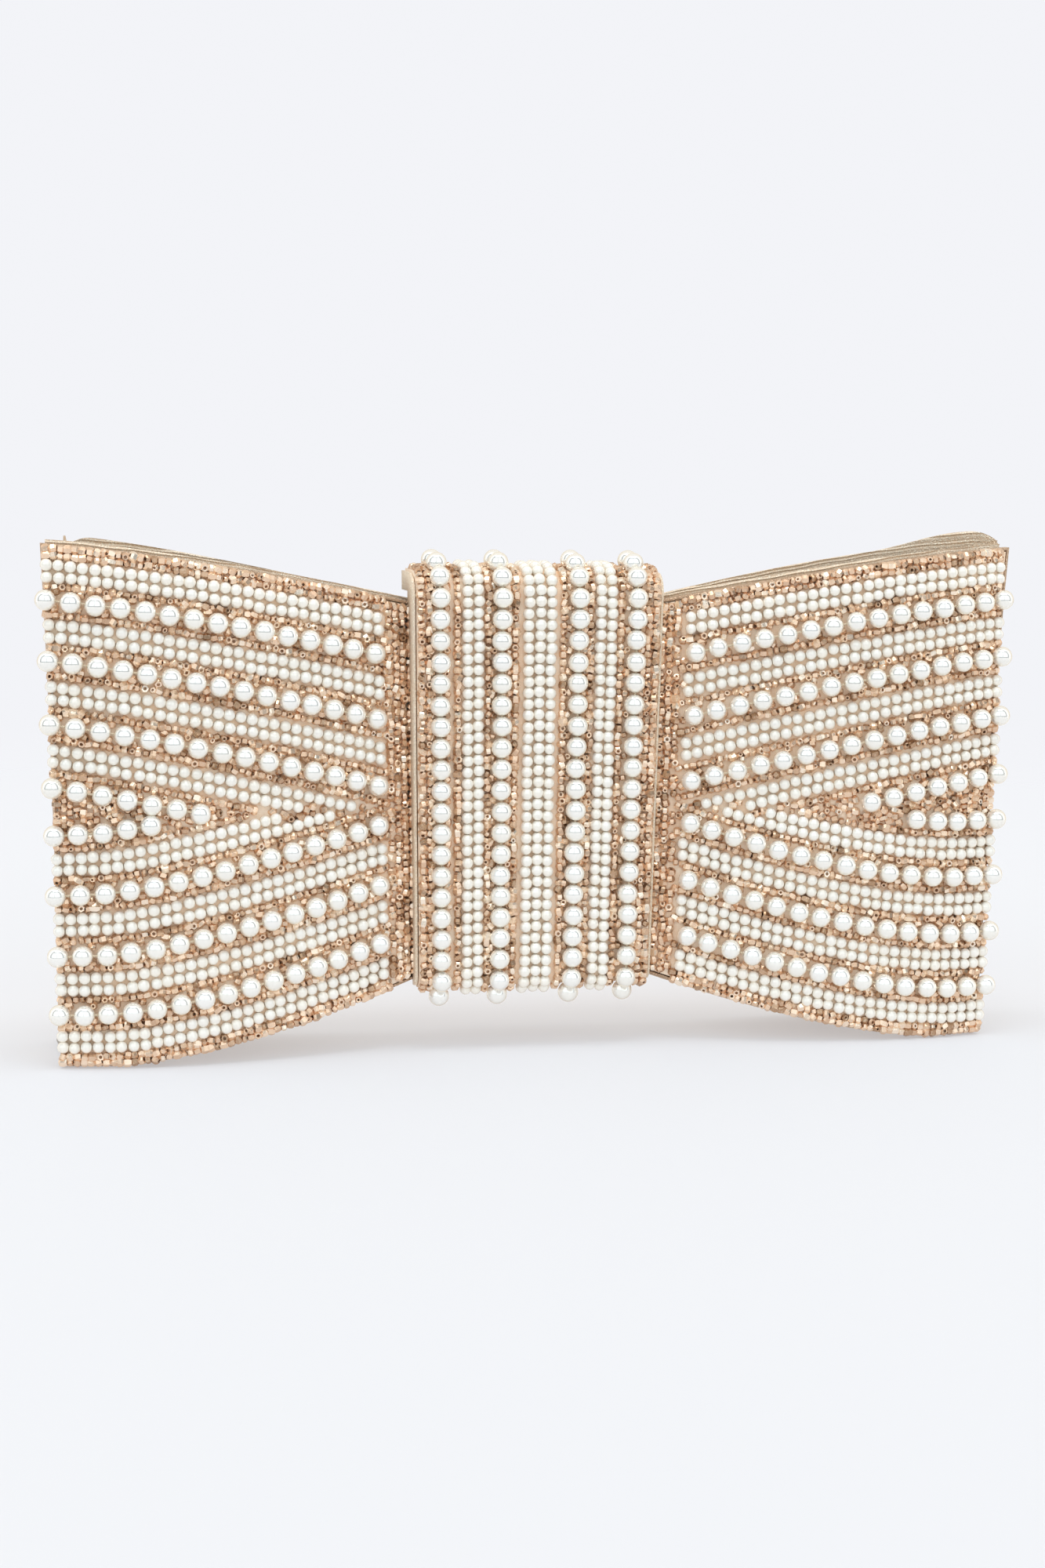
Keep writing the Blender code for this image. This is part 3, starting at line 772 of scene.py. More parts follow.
def knot_route(grow, steps=8):
    """The knot's outside in section, from under its base, up its face and over its top."""
    face = -(KNOT_FACE + grow)
    low_round, top_round = 2 * MM + grow, 5 * MM + grow
    low = (face + low_round, KNOT_FOOT - grow + low_round)
    top = (face + top_round, KNOT_HEAD + grow - top_round)
    rungs = 40
    route = [(KNOT_UNDER, KNOT_FOOT - grow)]
    route += arc(low, low_round, 270, 180, steps)
    route += [(face, lerp(low[1], top[1], i / rungs)) for i in range(1, rungs)]
    route += arc(top, top_round, 180, 90, steps)
    return route + [(PARTING, KNOT_HEAD + grow)]


def knot_ring(grow, heel):
    """The outside and the inside of half a knot, as one closed outline."""
    return knot_route(grow) + [(PARTING, INNER_HEAD), (INNER_FACE, INNER_HEAD),
                               (KNOT_UNDER, heel)]


print("knot", round((KNOT_HEAD - KNOT_FOOT) / MM, 1), "mm high")


# %% Cover the knot
def knot_cloth(u, y, z):
    return lerp(-1, 1, u) * knot_half(z), y, z


def knot_core(u, y, z):
    return lerp(-1, 1, u) * 0.99 * knot_half(z), y, z


def knot_folds(u, y, z):
    """The plain back of the knot, pulled into three soft lengthwise folds."""
    share = lerp(-1, 1, u)
    lift = 0
    if y < -12 * MM or z > 137 * MM:
        inside = 1 - abs(share) ** 6
        height = math.sin(math.pi * min(1, max(0, (z - 20 * MM) / (120 * MM))))
        lift = 0.55 * MM * inside * height * math.cos(share * 9.4)
    lift -= 0.8 * MM * abs(share) ** 14
    return share * 0.85 * knot_half(z), lift - y, z


CLOTH_NEAR, CLOTH_THICK = 0.3 * MM, 1.65 * MM
ring_piece("knot_cloth", 40, knot_route(CLOTH_NEAR) + knot_route(CLOTH_NEAR + CLOTH_THICK)[::-1],
           knot_cloth, "front", BLUSH_CLOTH, ["knot_bead_cloth"])
ring_piece("knot_back_leatherette", 80, knot_ring(0.9 * MM, 22.6 * MM), knot_folds, "back",
           CHAMPAGNE, ["knot_back_cover", "knot_back_pad"], round_edge=0.5 * MM)
ring_piece("knot_front_core", 80, knot_ring(0.28 * MM, 22.6 * MM), knot_core, "front",
           CHAMPAGNE, ["knot_front_pad"])
print("knot covered")

# %% Gold strips along the knot's edges
STRIP_RIDGE = [(0.3, 0.0), (0.36, 0.25), (0.5, 0.34), (0.7, 0.2), (0.82, 0.3), (1.0, 0.2),
               (1.1, 0.0)]


def knot_strip(side, label):
    def position(u, y, z):
        gap, lift = STRIP_RIDGE[round(u * (len(STRIP_RIDGE) - 1))]
        x = side * (knot_half(z) + gap * MM)
        return x, y - (lift * MM if z < 136 * MM and y < -12 * MM else 0), z

    ring_piece(f"knot_strip_{label}", len(STRIP_RIDGE) - 1, knot_ring(1.3 * MM, 19.6 * MM),
               position, "front", PALE_CHAMPAGNE, [f"knot_trim_{label}"])


knot_strip(-1, "left")
knot_strip(1, "right")
print("knot strips on")

# %% [markdown]
# ## Beads, one shape copied many times
#
# There are about five thousand beads. An object for each would be slow and hard to handle, so
# one bead is modelled once, its points are held as an array, and every place adds a turned,
# moved and scaled copy of that array to a single mesh. A value called tone is stored with each
# copy for the finishes.

# %% Copy one bead along a list of places
def seed_arrays(bm):
    bm.verts.ensure_lookup_table()
    points = np.array([v.co[:] for v in bm.verts])
    faces = [[v.index for v in f.verts] for f in bm.faces]
    bm.free()
    return points, faces


def bead_piece(name, seed, places, finish, stands_for=(), smooth=True):
    """places is a list of (centre, 3x3 turn, scale, tone)."""
    points, faces = seed
    centres, turns, scales, tones = (np.array(column) for column in zip(*places))
    moved = np.einsum("nij,kj->nki", turns, points) * scales[:, None, None] \
        + centres[:, None, :]
    step = len(points)
    every = [[i * step + v for v in face] for i in range(len(places)) for face in faces]
    mesh = bpy.data.meshes.new(name)
    mesh.from_pydata(moved.reshape(-1, 3).tolist(), [], every)
    tone = mesh.attributes.new("tone", "FLOAT", "POINT")
    tone.data.foreach_set("value", np.repeat(tones.astype(np.float32), step))
    if smooth:
        mesh.shade_smooth()
    return link(bpy.data.objects.new(name, mesh), "front", finish, stands_for)


print("beads are laid as arrays")


# %% One pearl of each size and one cut tube
def pearl_seed(segments, rings, dimple):
    """A sphere drilled along Z: the poles sink into shallow dimples."""
    bm = bmesh.new()
    bmesh.ops.create_uvsphere(bm, u_segments=segments, v_segments=rings, radius=1.0)
    for vert in bm.verts:
        if abs(vert.co.z) > 0.999:
            vert.co.z *= dimple
    return seed_arrays(bm)


def cut_tube_seed(sides=6):
    """A short cut tube with a hole: facets round it, a chamfer at each end."""
    bm = bmesh.new()
    profile = [(0.36, -0.7), (0.72, -0.74), (1.0, -0.34), (1.0, 0.34), (0.72, 0.74),
               (0.36, 0.7)]
    verts = [bm.verts.new((r, 0, z)) for r, z in profile]
    edges = [bm.edges.new((a, b)) for a, b in zip(verts, verts[1:] + verts[:1])]
    bmesh.ops.spin(bm, geom=verts + edges, cent=(0, 0, 0), axis=(0, 0, 1),
                   angle=2 * math.pi, steps=sides, use_merge=True)
    bmesh.ops.remove_doubles(bm, verts=bm.verts[:], dist=0.001)
    bmesh.ops.recalc_face_normals(bm, faces=bm.faces[:])
    return seed_arrays(bm)


LARGE_SEED = pearl_seed(26, 16, dimple=0.86)
SMALL_SEED = pearl_seed(16, 10, dimple=0.8)
TUBE_SEED = cut_tube_seed()
LARGE, SMALL, TUBE = 3.06 * MM, 1.79 * MM, 1.36 * MM
print("faces:", [len(faces) for _, faces in (LARGE_SEED, SMALL_SEED, TUBE_SEED)])

# %% [markdown]
# ## Rows on the wings
#
# On each wing the rows in the upper half run parallel to the top edge and those in the lower
# half to the base, so they meet in a lying V. From each edge inwards the order is: two rows of
# cut tubes, two of small pearls, one of tubes, one of large pearls, one of tubes, and so on. A
# row is a height above the base for every share t. Beads are set along it by true length, so the
# spacing stays even where the panel curves.

# %% A point above the wing, and beads spaced along a row
def above_wing(x, z, lift):
    """A point over the right wing's board, square to it, and the outward direction there."""
    def depth(x, z):
        return front_face(wing_share(x, z), z)

    step = 0.5 * MM
    slope_x = (depth(x + step, z) - depth(x - step, z)) / (2 * step)
    slope_z = (depth(x, z + step) - depth(x, z - step)) / (2 * step)
    normal = Vector((slope_x, -1, slope_z)).normalized()
    return Vector((x, depth(x, z) + SHIFT_Y, z)) + normal * lift, normal


def row_line(height, start, end, lift, steps=140):
    line = []
    for i in range(steps + 1):
        t = lerp(start, end, i / steps)
        z = height(t)
        line.append(above_wing(lerp(knot_half(z), outer_half(z), t), z, lift)[0])
    return line


def space_along(line, pitch, first=0.0, last=0.0):
    """Points and directions along a line, evenly spaced as near to pitch as fits."""
    points = np.array(line)
    steps = np.linalg.norm(np.diff(points, axis=0), axis=1)
    run = np.concatenate([[0], np.cumsum(steps)])

    def at(where):
        return Vector([np.interp(where, run, points[:, k]) for k in range(3)])

    length = run[-1] - first - last
    count = max(1, round(length / pitch))
    reach = 0.4 * MM
    places = []
    for i in range(count + 1):
        where = first + length * i / count
        places.append((at(where), (at(where + reach) - at(where - reach)).normalized()))
    return places


def upper(drop, swell):
    """A row below the top edge. Only the lower rows swell in the middle."""
    return lambda t: top_edge(t) - drop * (1 + 0.12 * (1 - t))


def lower(rise, swell):
    return lambda t: base_edge(t) + rise * (1 + swell * math.sin(math.pi * t))


def mid_height(t, swell):
    """Where the upper and lower halves meet."""
    fan, full = 1 + 0.12 * (1 - t), 1 + swell * math.sin(math.pi * t)
    rise = (top_edge(t) - base_edge(t) - 1.3 * MM * fan) / (full + fan)
    return base_edge(t) + rise * full


def turn_to(along, outward, spin):
    """A turn whose Z runs along a row and whose Y faces outwards, then spun about the row."""
    side = outward.cross(along).normalized()
    outward = along.cross(side)
    turn = Matrix((side, outward, along)).transposed() @ Matrix.Rotation(spin, 3, "Z")
    return np.array(turn)


print("halves meet", round(mid_height(0.5, 0) / MM, 1), "mm up in the middle of a wing")

# %% [markdown]
# The rows are laid in the order of a beader's work: large pearls first, then the small ones,
# then the tubes that fill between. A bead that would sit in one already sewn is left out, which
# is how the V closes by itself where the upper and lower rows run into each other.

# %% The order of the rows, in millimetres from their edge
LARGE_UPPER = (16.1, 33.2, 51.0, 68.8)
LARGE_LOWER = (67.5, 50.4, 33.0, 16.1)
APEX_UPPER, APEX_LOWER = 0.60, 0.73
EDGE_TUBES = [1.5, 3.5]
SMALL_PAIR = 1.74
BESIDE_LARGE = 4.0


def side_rows(large):
    """Offsets of the small and tube rows around the large ones, from the edge inwards."""
    small = [large[0] - 9.9, large[0] - 6.6]
    tube = EDGE_TUBES + [large[0] - BESIDE_LARGE]
    for edge, at in zip(large, large[1:]):
        gap = at - edge
        small += [edge + gap / 2 - SMALL_PAIR, edge + gap / 2 + SMALL_PAIR]
        tube += [edge + BESIDE_LARGE, at - BESIDE_LARGE]
    return small, tube


print("rows above and below:", [len(rows) for rows in side_rows(LARGE_UPPER)])


# %% The beads of one wing
class Wing:
    """The beads of one wing, kept apart from each other."""

    def __init__(self, seed, swell):
        self.chance = random.Random(seed)
        self.swell = swell
        self.taken = []
        self.beads = {"large": [], "small": [], "tube": []}

    def free(self, centre, radius, share):
        for x, z, other in self.taken:
            reach = (radius + other) * share
            if (x - centre.x) ** 2 + (z - centre.z) ** 2 < reach * reach:
                return False
        return True

    def sew(self, kind, centre, along, outward, radius, share):
        """Sew a bead unless it comes nearer than this share of touching."""
        if self.free(centre, radius, share):
            self.taken.append((centre.x, centre.z, radius))
            self.beads[kind].append((centre, along, outward, radius))

    def lay_row(self, kind, height, radius, pitch, lift, first, last, share, half, start=0.0,
                end=1.0):
        line = row_line(height, start, end, lift)
        for centre, along in space_along(line, pitch, first, last):
            x, z = centre.x, centre.z
            meeting = mid_height(min(1, max(0, wing_share(x, z))), self.swell)
            past = {"upper": meeting - z, "lower": z - meeting}.get(half)
            if past is not None and past > -0.35 * radius:
                continue
            self.sew(kind, centre, along, above_wing(x, z, 0)[1], radius, share)


def bead_wing(seed, swell):
    """The rows of one wing, and its large pearls by the number of their string."""
    wing = Wing(seed, swell)
    chance = wing.chance
    rows = [(upper(drop * MM, swell), APEX_UPPER if i == 3 else 0.07)
            for i, drop in enumerate(LARGE_UPPER)]
    rows += [(lower(rise * MM, swell), APEX_LOWER if i == 0 else 0.07)
             for i, rise in enumerate(LARGE_LOWER)]
    strung = {}
    for number, (height, start) in enumerate(rows, 1):
        before = len(wing.beads["large"])
        first = 2.2 * MM if start > 0.5 else 6.2 * MM
        wing.lay_row("large", height, LARGE, 6.85 * MM, 5.2 * MM, first, 2.6 * MM, 0.0, None,
                     start, 1.015)
        strung[number] = wing.beads["large"][before:]
    for half, large, rule in (("upper", LARGE_UPPER, upper),
                              ("lower", LARGE_LOWER[::-1], lower)):
        small, tubes = side_rows(large)
        for offset in small:
            wing.lay_row("small", rule(offset * MM, swell), SMALL, 3.42 * MM, 3.25 * MM,
                         12.4 * MM, 1.2 * MM, 0.9, half)
        for offset in tubes:
            wander = chance.uniform(-0.08, 0.08) * MM
            wing.lay_row("tube", rule(offset * MM + wander, swell), TUBE, 2.05 * MM, 2.75 * MM,
                         10.4 * MM, 1.1 * MM, 0.6, half)
    return wing, strung


WINGS = {"left": bead_wing(11, 0.042), "right": bead_wing(23, -0.01)}
for label, (wing, _) in WINGS.items():
    print(label, {kind: len(beads) for kind, beads in wing.beads.items()})

# %% [markdown]
# Beside the knot five upright rows of tubes close the ends of all the other rows. They run from
# the base to the top edge, so they are laid after them, by height instead of by share. More
# tubes then fill what the closing V has left bare, and the gaps between neighbouring large
# pearls on both sides of their thread.

# %% Upright border beside the knot, and the filling
BORDER_ROWS = (1.5, 3.7, 5.9, 8.1, 10.2)
WING_SPAN = 106 * MM
TUBE_LIFT = 2.7 * MM
OFF_THREAD = 2.3 * MM


def upright_border(wing):
    for reach in BORDER_ROWS:
        t = reach * MM / WING_SPAN
        line = []
        for i in range(120):
            z = lerp(base_edge(t) + 3.0 * MM, top_edge(t) - 2.6 * MM, i / 119)
            line.append(above_wing(knot_half(z) + reach * MM, z, TUBE_LIFT)[0])
        for centre, along in space_along(line, 2.2 * MM):
            outward = above_wing(centre.x, centre.z, 0)[1]
            wing.sew("tube", centre, along, outward, TUBE, 0.66)


def inner_filling(wing):
    """Tubes wherever the closing V has left cloth bare."""
    for i in range(60):
        for j in range(-9, 10):
            t = lerp(0.03, 0.985, i / 59)
            z = mid_height(t, wing.swell) + j * 1.05 * MM
            x = lerp(knot_half(z), outer_half(z), t)
            centre, outward = above_wing(x, z, TUBE_LIFT)
            wing.sew("tube", centre, Vector((1, 0, 0)), outward, TUBE, 0.72)


def beside_strings(wing, strung):
    """Tubes between neighbouring large pearls, on both sides of their thread."""
    for beads in strung.values():
        for one, two in zip(beads, beads[1:]):
            centre, along, outward = (one[0] + two[0]) / 2, one[1], one[2]
            across = outward.cross(along)
            for side in (-1, 1):
                spot = centre + across * side * OFF_THREAD
                place, facing = above_wing(spot.x, spot.z, 2.6 * MM)
                wing.sew("tube", place, along, facing, TUBE, 0.5)


for label, (wing, strung) in WINGS.items():
    upright_border(wing)
    inner_filling(wing)
    beside_strings(wing, strung)
    print(label, "with border and filling", len(wing.beads["tube"]), "tubes")

# %% [markdown]
# ## Sewing the wings
#
# A bead is never set quite true. Pearls differ by a hair in size and height; tubes tip over,
# spin on their thread, and a few stand on end so that the hole shows. All of it is drawn from a
# seeded chance, so the clutch is the same each time it is built. The rows are worked out for the
# right side and mirrored for the left wing.

# %% Give every bead its own turn, size and tone
FULL_TURN = 6.28
TABLE_CLEARANCE = 1.8 * MM


def mirrored(vector, side):
    return Vector((vector.x * side, vector.y, vector.z))


def jitter(chance, amount):
    return Vector((chance.gauss(0, 1), chance.gauss(0, 1), chance.gauss(0, 1))) * amount


def pearl_places(beads, side, chance, loose, vary):
    places = []
    for centre, along, outward, radius in beads:
        centre = mirrored(centre, side) + jitter(chance, loose)
        along = (mirrored(along, side) + jitter(chance, 0.07)).normalized()
        turn = turn_to(along, mirrored(outward, side), chance.uniform(0, FULL_TURN))
        places.append((centre, turn, radius * chance.uniform(1 - vary, 1 + vary * 0.4),
                       chance.random()))
    return places


def tube_places(beads, side, chance):
    places = []
    for centre, along, outward, radius in beads:
        centre = mirrored(centre, side) + jitter(chance, 0.1 * MM)
        centre.z = max(centre.z, TABLE_CLEARANCE)
        outward = mirrored(outward, side)
        along = mirrored(along, side)
        if chance.random() < 0.13:
            axis, facing = (outward + jitter(chance, 0.3)).normalized(), along
        else:
            axis, facing = (along + jitter(chance, 0.28)).normalized(), outward
        turn = turn_to(axis, facing, chance.uniform(0, FULL_TURN))
        turn = turn @ np.diag([chance.uniform(0.8, 1.1), 1, chance.uniform(0.8, 1.35)])
        tone = min(1.0, max(0.0, chance.gauss(0.5, 0.27)))
        places.append((centre, turn, radius * chance.uniform(0.8, 1.14), tone))
    return places


def sew_string(name, beads, side, chance, loose, stands_for):
    bead_piece(name, LARGE_SEED, pearl_places(beads, side, chance, loose, 0.02), LARGE_PEARL,
               [stands_for])


def sew_filling(label, small, tubes, side, chance):
    bead_piece(f"{label}_small_pearls", SMALL_SEED,
               pearl_places(small, side, chance, 0.1 * MM, 0.06), SMALL_PEARL)
    bead_piece(f"{label}_cut_tubes", TUBE_SEED, tube_places(tubes, side, chance), PLATING,
               smooth=False)


for label, side in (("left", -1), ("right", 1)):
    wing, strung = WINGS[label]
    chance = random.Random(31 + side)
    for row, beads in strung.items():
        sew_string(f"{label}_pearl_row_{row}", beads, side, chance, 0.07 * MM,
                   f"pearl_row_{label}_{row}")
    sew_filling(label, wing.beads["small"], wing.beads["tube"], side, chance)
print("wings sewn")

# %% [markdown]
# ## Columns on the knot
#
# The knot's beads run up its face and over both rounded edges. Each column is the knot's outline
# grown by the height of its beads: four large columns, pairs of small ones between them, three
# in the middle, and tubes beside every large column and in the gaps between its pearls.

# %% Bead the knot
KNOT_SHARES = {
    "large": (-0.825, -0.32, 0.31, 0.79),
    "small": (-0.594, -0.502, -0.094, 0.0, 0.094, 0.502, 0.594),
    "tube": (-0.965, -0.903, -0.674, -0.422, -0.2, 0.2, 0.422, 0.674, 0.903, 0.965)}
KNOT_BEADS = {"large": (LARGE, 6.3 * MM, 4.8 * MM), "small": (SMALL, 3.36 * MM, 2.95 * MM),
              "tube": (TUBE, 2.2 * MM, 2.45 * MM)}
KNOT_MIDDLE = 80 * MM


def knot_column(kind, share, shift=0.0):
    radius, pitch, grow = KNOT_BEADS[kind]
    line = [Vector((share * knot_half(z), y + SHIFT_Y, z)) for y, z in knot_route(grow, 16)[1:]]
    first = 3.0 * MM if kind == "large" else radius + shift
    last = 6.6 * MM if kind == "large" else radius + 2.4 * MM - shift
    beads = []
    for centre, along in space_along(line, pitch, first, last):
        outward = along.cross(Vector((1, 0, 0))).normalized()
        if outward.dot(centre - Vector((centre.x, SHIFT_Y, KNOT_MIDDLE))) < 0:
            outward = -outward
        beads.append((centre, along, outward, radius))
    return beads


def beside_column(beads):
    """Tubes between the large pearls of a column, on both sides of its thread."""
    tubes = []
    for one, two in zip(beads, beads[1:]):
        centre = (one[0] + two[0]) / 2 - one[2] * 2.5 * MM
        tubes += [(centre + Vector((side * OFF_THREAD, 0, 0)), one[1], one[2], TUBE)
                  for side in (-1, 1)]
    return tubes


chance = random.Random(47)
KNOT_STRINGS = [knot_column("large", share) for share in KNOT_SHARES["large"]]
small, tubes, between = [], [], []
for number, beads in enumerate(KNOT_STRINGS, 1):
    sew_string(f"knot_pearl_string_{number}", beads, 1, chance, 0.08 * MM,
               f"knot_pearl_column_{number}")
    between += beside_column(beads)
for index, share in enumerate(KNOT_SHARES["small"]):
    small += knot_column("small", share, 0.4 * MM * (index % 2))
for share in KNOT_SHARES["tube"]:
    tubes += knot_column("tube", share)
sew_filling("knot", small, tubes + between, 1, chance)
print("knot:", sum(map(len, KNOT_STRINGS)), "large,", len(small), "small pearls,",
      len(tubes + between), "tubes")

# %% [markdown]
# ## Threads and stitches
#
# A fine gold thread runs through each string of large pearls and shows in the gaps between them.
# The plain back is held by a row of stitches beside its binding. A stitch is a short bent wire
# that dives into the leatherette at both ends.

# %% Threads through the large pearls
def wire(name, lines, radius, body):
    curve = bpy.data.curves.new(name, "CURVE")
    curve.dimensions = "3D"
    curve.bevel_depth = radius
    curve.bevel_resolution = 1
    curve.use_fill_caps = True
    for line in lines:
        spline = curve.splines.new("POLY")
        spline.points.add(len(line) - 1)
        for point, where in zip(spline.points, line):
            point.co = (*where, 1)
    return link(bpy.data.objects.new(name, curve), body, THREAD)


for label, side in (("left", -1), ("right", 1)):
    lines = [[mirrored(bead[0], side) for bead in beads] for beads in WINGS[label][1].values()]
    wire(f"{label}_pearl_threads", lines, 0.35 * MM, "front")
wire("knot_pearl_threads", [[bead[0] for bead in beads] for beads in KNOT_STRINGS], 0.35 * MM,
     "front")
print("pearls threaded")

# %% Stitches on the back
STITCH, STITCH_PITCH, STITCH_INSET = 2.3 * MM, 3.4 * MM, 3.2 * MM


def stitch_lines(line):
    lift = Vector((0, 0.22 * MM, 0))
    lines = []
    for centre, along in space_along(line, STITCH_PITCH, 1 * MM, 1 * MM):
        ends = [centre + along * STITCH * s for s in (-0.5, -0.36, 0.36, 0.5)]
        lines.append([ends[0] - lift * 1.4, ends[1] + lift, ends[2] + lift,
                      ends[3] - lift * 1.4])
    return lines


def back_point(p, v):
    x, z, t = on_bow(p, v, True, STITCH_INSET)
    return Vector((x, back_face(t, z) + 1.2 * MM - gathers(x, z, t) + SHIFT_Y, z))


stitches = []
for side in (-1, 1):
    rail = [side * lerp(0.115, 1, i / 80) for i in range(81)]
    stitches += stitch_lines([back_point(p, 1) for p in rail])
    stitches += stitch_lines([back_point(p, 0) for p in rail])
    stitches += stitch_lines([back_point(side, i / 60) for i in range(61)])
wire("back_stitches", stitches, 0.22 * MM, "back")
print("back stitches:", len(stitches))

# %% [markdown]
# ## Magnetic snap and hidden parts
#
# The snap's two halves are turned brass, gilt and polished: a stud with a stepped rim and a
# socket with a round well. Turned parts are a profile spun about an axis, with small rounded
# steps that catch the light. The base's board and the snap's washers stay hidden and keep the
# shapes they were packed with.

# %% Turn the snap
SNAP_HEIGHT = 122 * MM


def turned(name, profile, body, stands_for):
    bm = bmesh.new()
    points = [Vector((r * MM, y * MM + SHIFT_Y, SNAP_HEIGHT)) for r, y in profile]
    verts = [bm.verts.new(p) for p in points]
    edges = [bm.edges.new(pair) for pair in zip(verts, verts[1:])]
    bmesh.ops.spin(bm, geom=verts + edges, cent=(0, 0, SNAP_HEIGHT), axis=(0, 1, 0),
                   angle=2 * math.pi, steps=64, use_merge=True)
    bmesh.ops.remove_doubles(bm, verts=bm.verts[:], dist=0.002 * MM)
    return solid_piece(name, bm, body, GILT, stands_for, round_edge=0.12 * MM)


turned("snap_stud_turned", [
    (0, 0.7), (1.9, 0.7), (2.2, 0.4), (2.2, -1.0), (2.6, -1.3), (5.6, -1.3), (6.0, -1.5),
    (7.4, -1.5), (8, -1.9), (8, -3.1), (1.3, -3.1), (1.3, -6.2), (0, -6.2)],
    "front", ["snap_stud"])
turned("snap_socket_turned", [
    (0, 1.3), (3.0, 1.3), (3.0, -0.5), (3.4, -0.9), (6.4, -0.9), (6.8, -0.6), (8.2, -0.6),
    (9, 0.1), (9, 3.1), (1.3, 3.1), (1.3, 6.2), (0, 6.2)], "back", ["snap_socket"])
HIDDEN = {"base_board": (GREYBOARD, "greyboard"), "snap_stud_washer": (GILT, "gilt_metal"),
          "snap_socket_washer": (GILT, "gilt_metal")}
for name, (finish, slot) in HIDDEN.items():
    NODES[name].data.materials.clear()
    NODES[name].data.materials.append(finish)
print("snap turned,", len(HIDDEN), "hidden parts finished")

# %% [markdown]
# ## Table, light and camera
#
# The clutch stands on a plain pale table in a bright white room. The table fades out towards the
# horizon, so no edge shows behind the clutch.

# %% Table
TABLE_RADIUS = 1.1


def table_finish(name):
    finish = Finish(name)
    at = finish.place()
    distance = finish.node("ShaderNodeVectorMath", {"operation": "LENGTH"}, {0: at}, "Value")
    tone = finish.cloud(at, 0.3, 2)
    return finish.surface(
        Base_Color=finish.tint(tone, (0.445, 0.45, 0.47), (0.455, 0.46, 0.475)),
        Roughness=0.7, Specular_IOR_Level=0.2, Alpha=1 - distance.above(0.35, 1.0),
        Emission_Color=(0.97, 0.97, 1.0, 1), Emission_Strength=0.385)


bpy.ops.mesh.primitive_circle_add(vertices=96, radius=TABLE_RADIUS, fill_type="NGON",
                                  location=(0, 0, 0))
table = bpy.context.object
table.name = "table"
table.data.materials.append(table_finish("white_table"))
table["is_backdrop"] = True
print("table", round(table.dimensions.x, 1), "m across")

# %% [markdown]
# The light is drawn in the sky around the scene, because each pearl mirrors that whole room.
# Before the clutch stands a large soft window with a thin dark frame and a bar down its middle,
# and bright lamps hang high above. Behind the clutch the room is darker and warmer. The window
# is a round-cornered shape in two angles: how far aside a direction points, and how high.

# %% Sky with a window
WINDOW_ROUND = -14


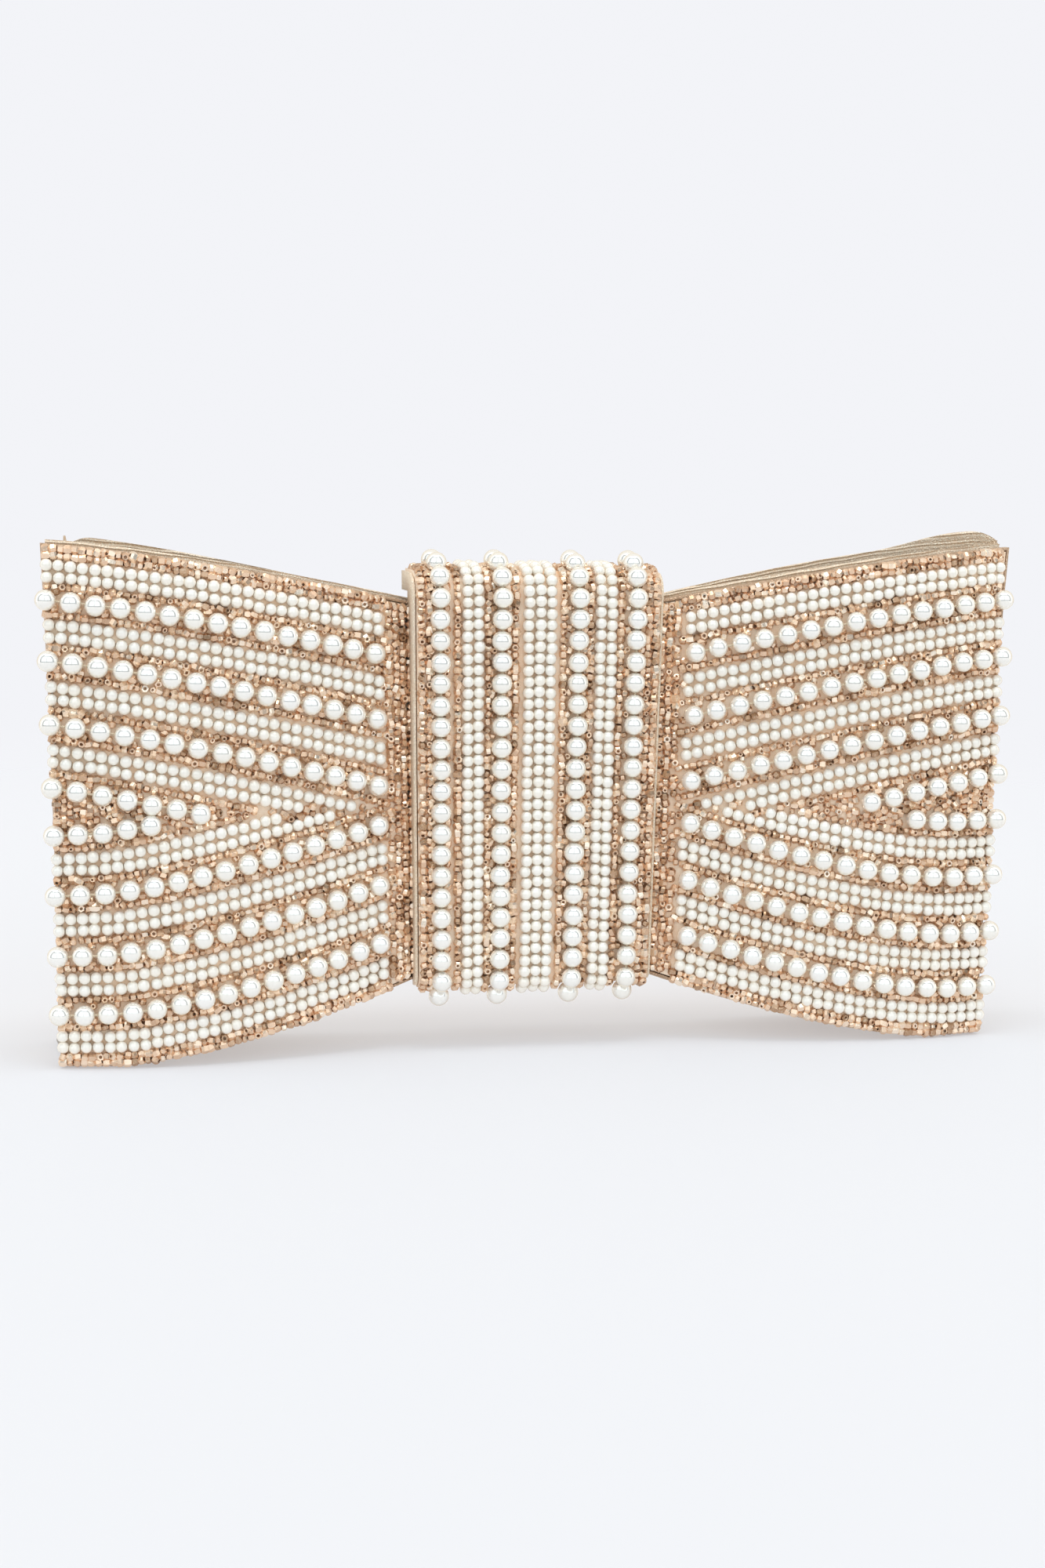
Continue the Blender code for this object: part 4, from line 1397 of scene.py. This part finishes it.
def room_light():
    world = bpy.data.worlds.new("white_room")
    bpy.context.scene.world = world
    world.use_nodes = True
    sky = Finish("white_room", world.node_tree)
    towards = sky.node("ShaderNodeTexCoord", output="Generated")

    def along(direction):
        return sky.node("ShaderNodeVectorMath", {"operation": "DOT_PRODUCT"},
                        {0: towards, 1: direction}, "Value")

    turn = math.radians(WINDOW_ROUND)
    height = along((0, 0, 1))
    climb = height.maths("ARCSINE", height)
    bearing = height.maths("ARCTAN2", along((math.cos(turn), math.sin(turn), 0)),
                           along((math.sin(turn), -math.cos(turn), 0)))
    aside = height.maths("ABSOLUTE", bearing)
    lift = height.maths("MAXIMUM", climb, 0.0)
    dome = (aside / 1.12) ** 5 + (lift / 0.98) ** 5
    window = (1 - dome.above(0.8, 1.0)) * climb.above(0.0, 0.05)
    outline = (1 - dome.above(2.9, 3.6)) * climb.above(-0.18, -0.13) - window
    bar = (1 - aside.above(0.04, 0.08)) * window
    lamps = climb.above(1.08, 1.12) * (1 - climb.above(1.34, 1.38)) \
        * (1 - aside.above(1.3, 1.7))
    behind = aside.above(1.5, 2.3)
    bright = 1.3 - behind * 0.5 + window * 0.1 - outline * 1.05 - bar * 0.8 + lamps * 4.0
    glass = sky.tint(outline + window * 0.6, (1.0, 1.0, 1.0), (0.78, 0.91, 1.0))
    tinted = sky.tint(behind, glass, (1.0, 0.94, 0.85))
    lit = sky.node("ShaderNodeBackground", {}, {"Color": tinted, "Strength": bright})
    seen = sky.node("ShaderNodeBackground", {}, {
        "Color": (0.895, 0.903, 0.937, 1), "Strength": 1.0})
    eye = sky.node("ShaderNodeLightPath", output="Is Camera Ray")
    mixed = sky.node("ShaderNodeMixShader", {}, {0: eye, 1: lit, 2: seen})
    sky.node("ShaderNodeOutputWorld", {}, {"Surface": mixed})


room_light()
bpy.context.scene.view_settings.view_transform = "Standard"
bpy.context.scene.view_settings.look = "None"
print("room lit")


# %% Camera
def camera(azimuth, elevation, roll, distance, lens, shift, target):
    a, e, r = (math.radians(v) for v in (azimuth, elevation, roll))
    ahead = Vector((-math.sin(a) * math.cos(e), math.cos(a) * math.cos(e), -math.sin(e)))
    right = Vector((math.cos(a), math.sin(a), 0))
    up = right.cross(ahead)
    right, up = (right * math.cos(r) + up * math.sin(r),
                 up * math.cos(r) - right * math.sin(r))
    data = bpy.data.cameras.new("studio_camera")
    data.lens = lens
    data.sensor_width = 36
    data.shift_x, data.shift_y = shift
    data.clip_start, data.clip_end = 0.01, 20
    eye = bpy.data.objects.new("studio_camera", data)
    bpy.context.scene.collection.objects.link(eye)
    turn = Matrix((right, up, -ahead)).transposed().to_4x4()
    eye.matrix_world = Matrix.Translation(target - ahead * distance) @ turn
    bpy.context.scene.camera = eye


camera(azimuth=-13.97, elevation=7.15, roll=0.85, distance=0.8957, lens=68.06,
       shift=(-0.0005, 0.005), target=Vector((0, SHIFT_Y, HEIGHT / 2)))
print("camera set")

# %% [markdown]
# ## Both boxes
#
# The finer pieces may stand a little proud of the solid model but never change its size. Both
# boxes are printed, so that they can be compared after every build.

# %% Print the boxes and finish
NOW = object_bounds()
for label, box in (("solid model", CAD_BOX), ("dressed", NOW)):
    print(label, [[round(v / MM, 1) for v in corner] for corner in box])
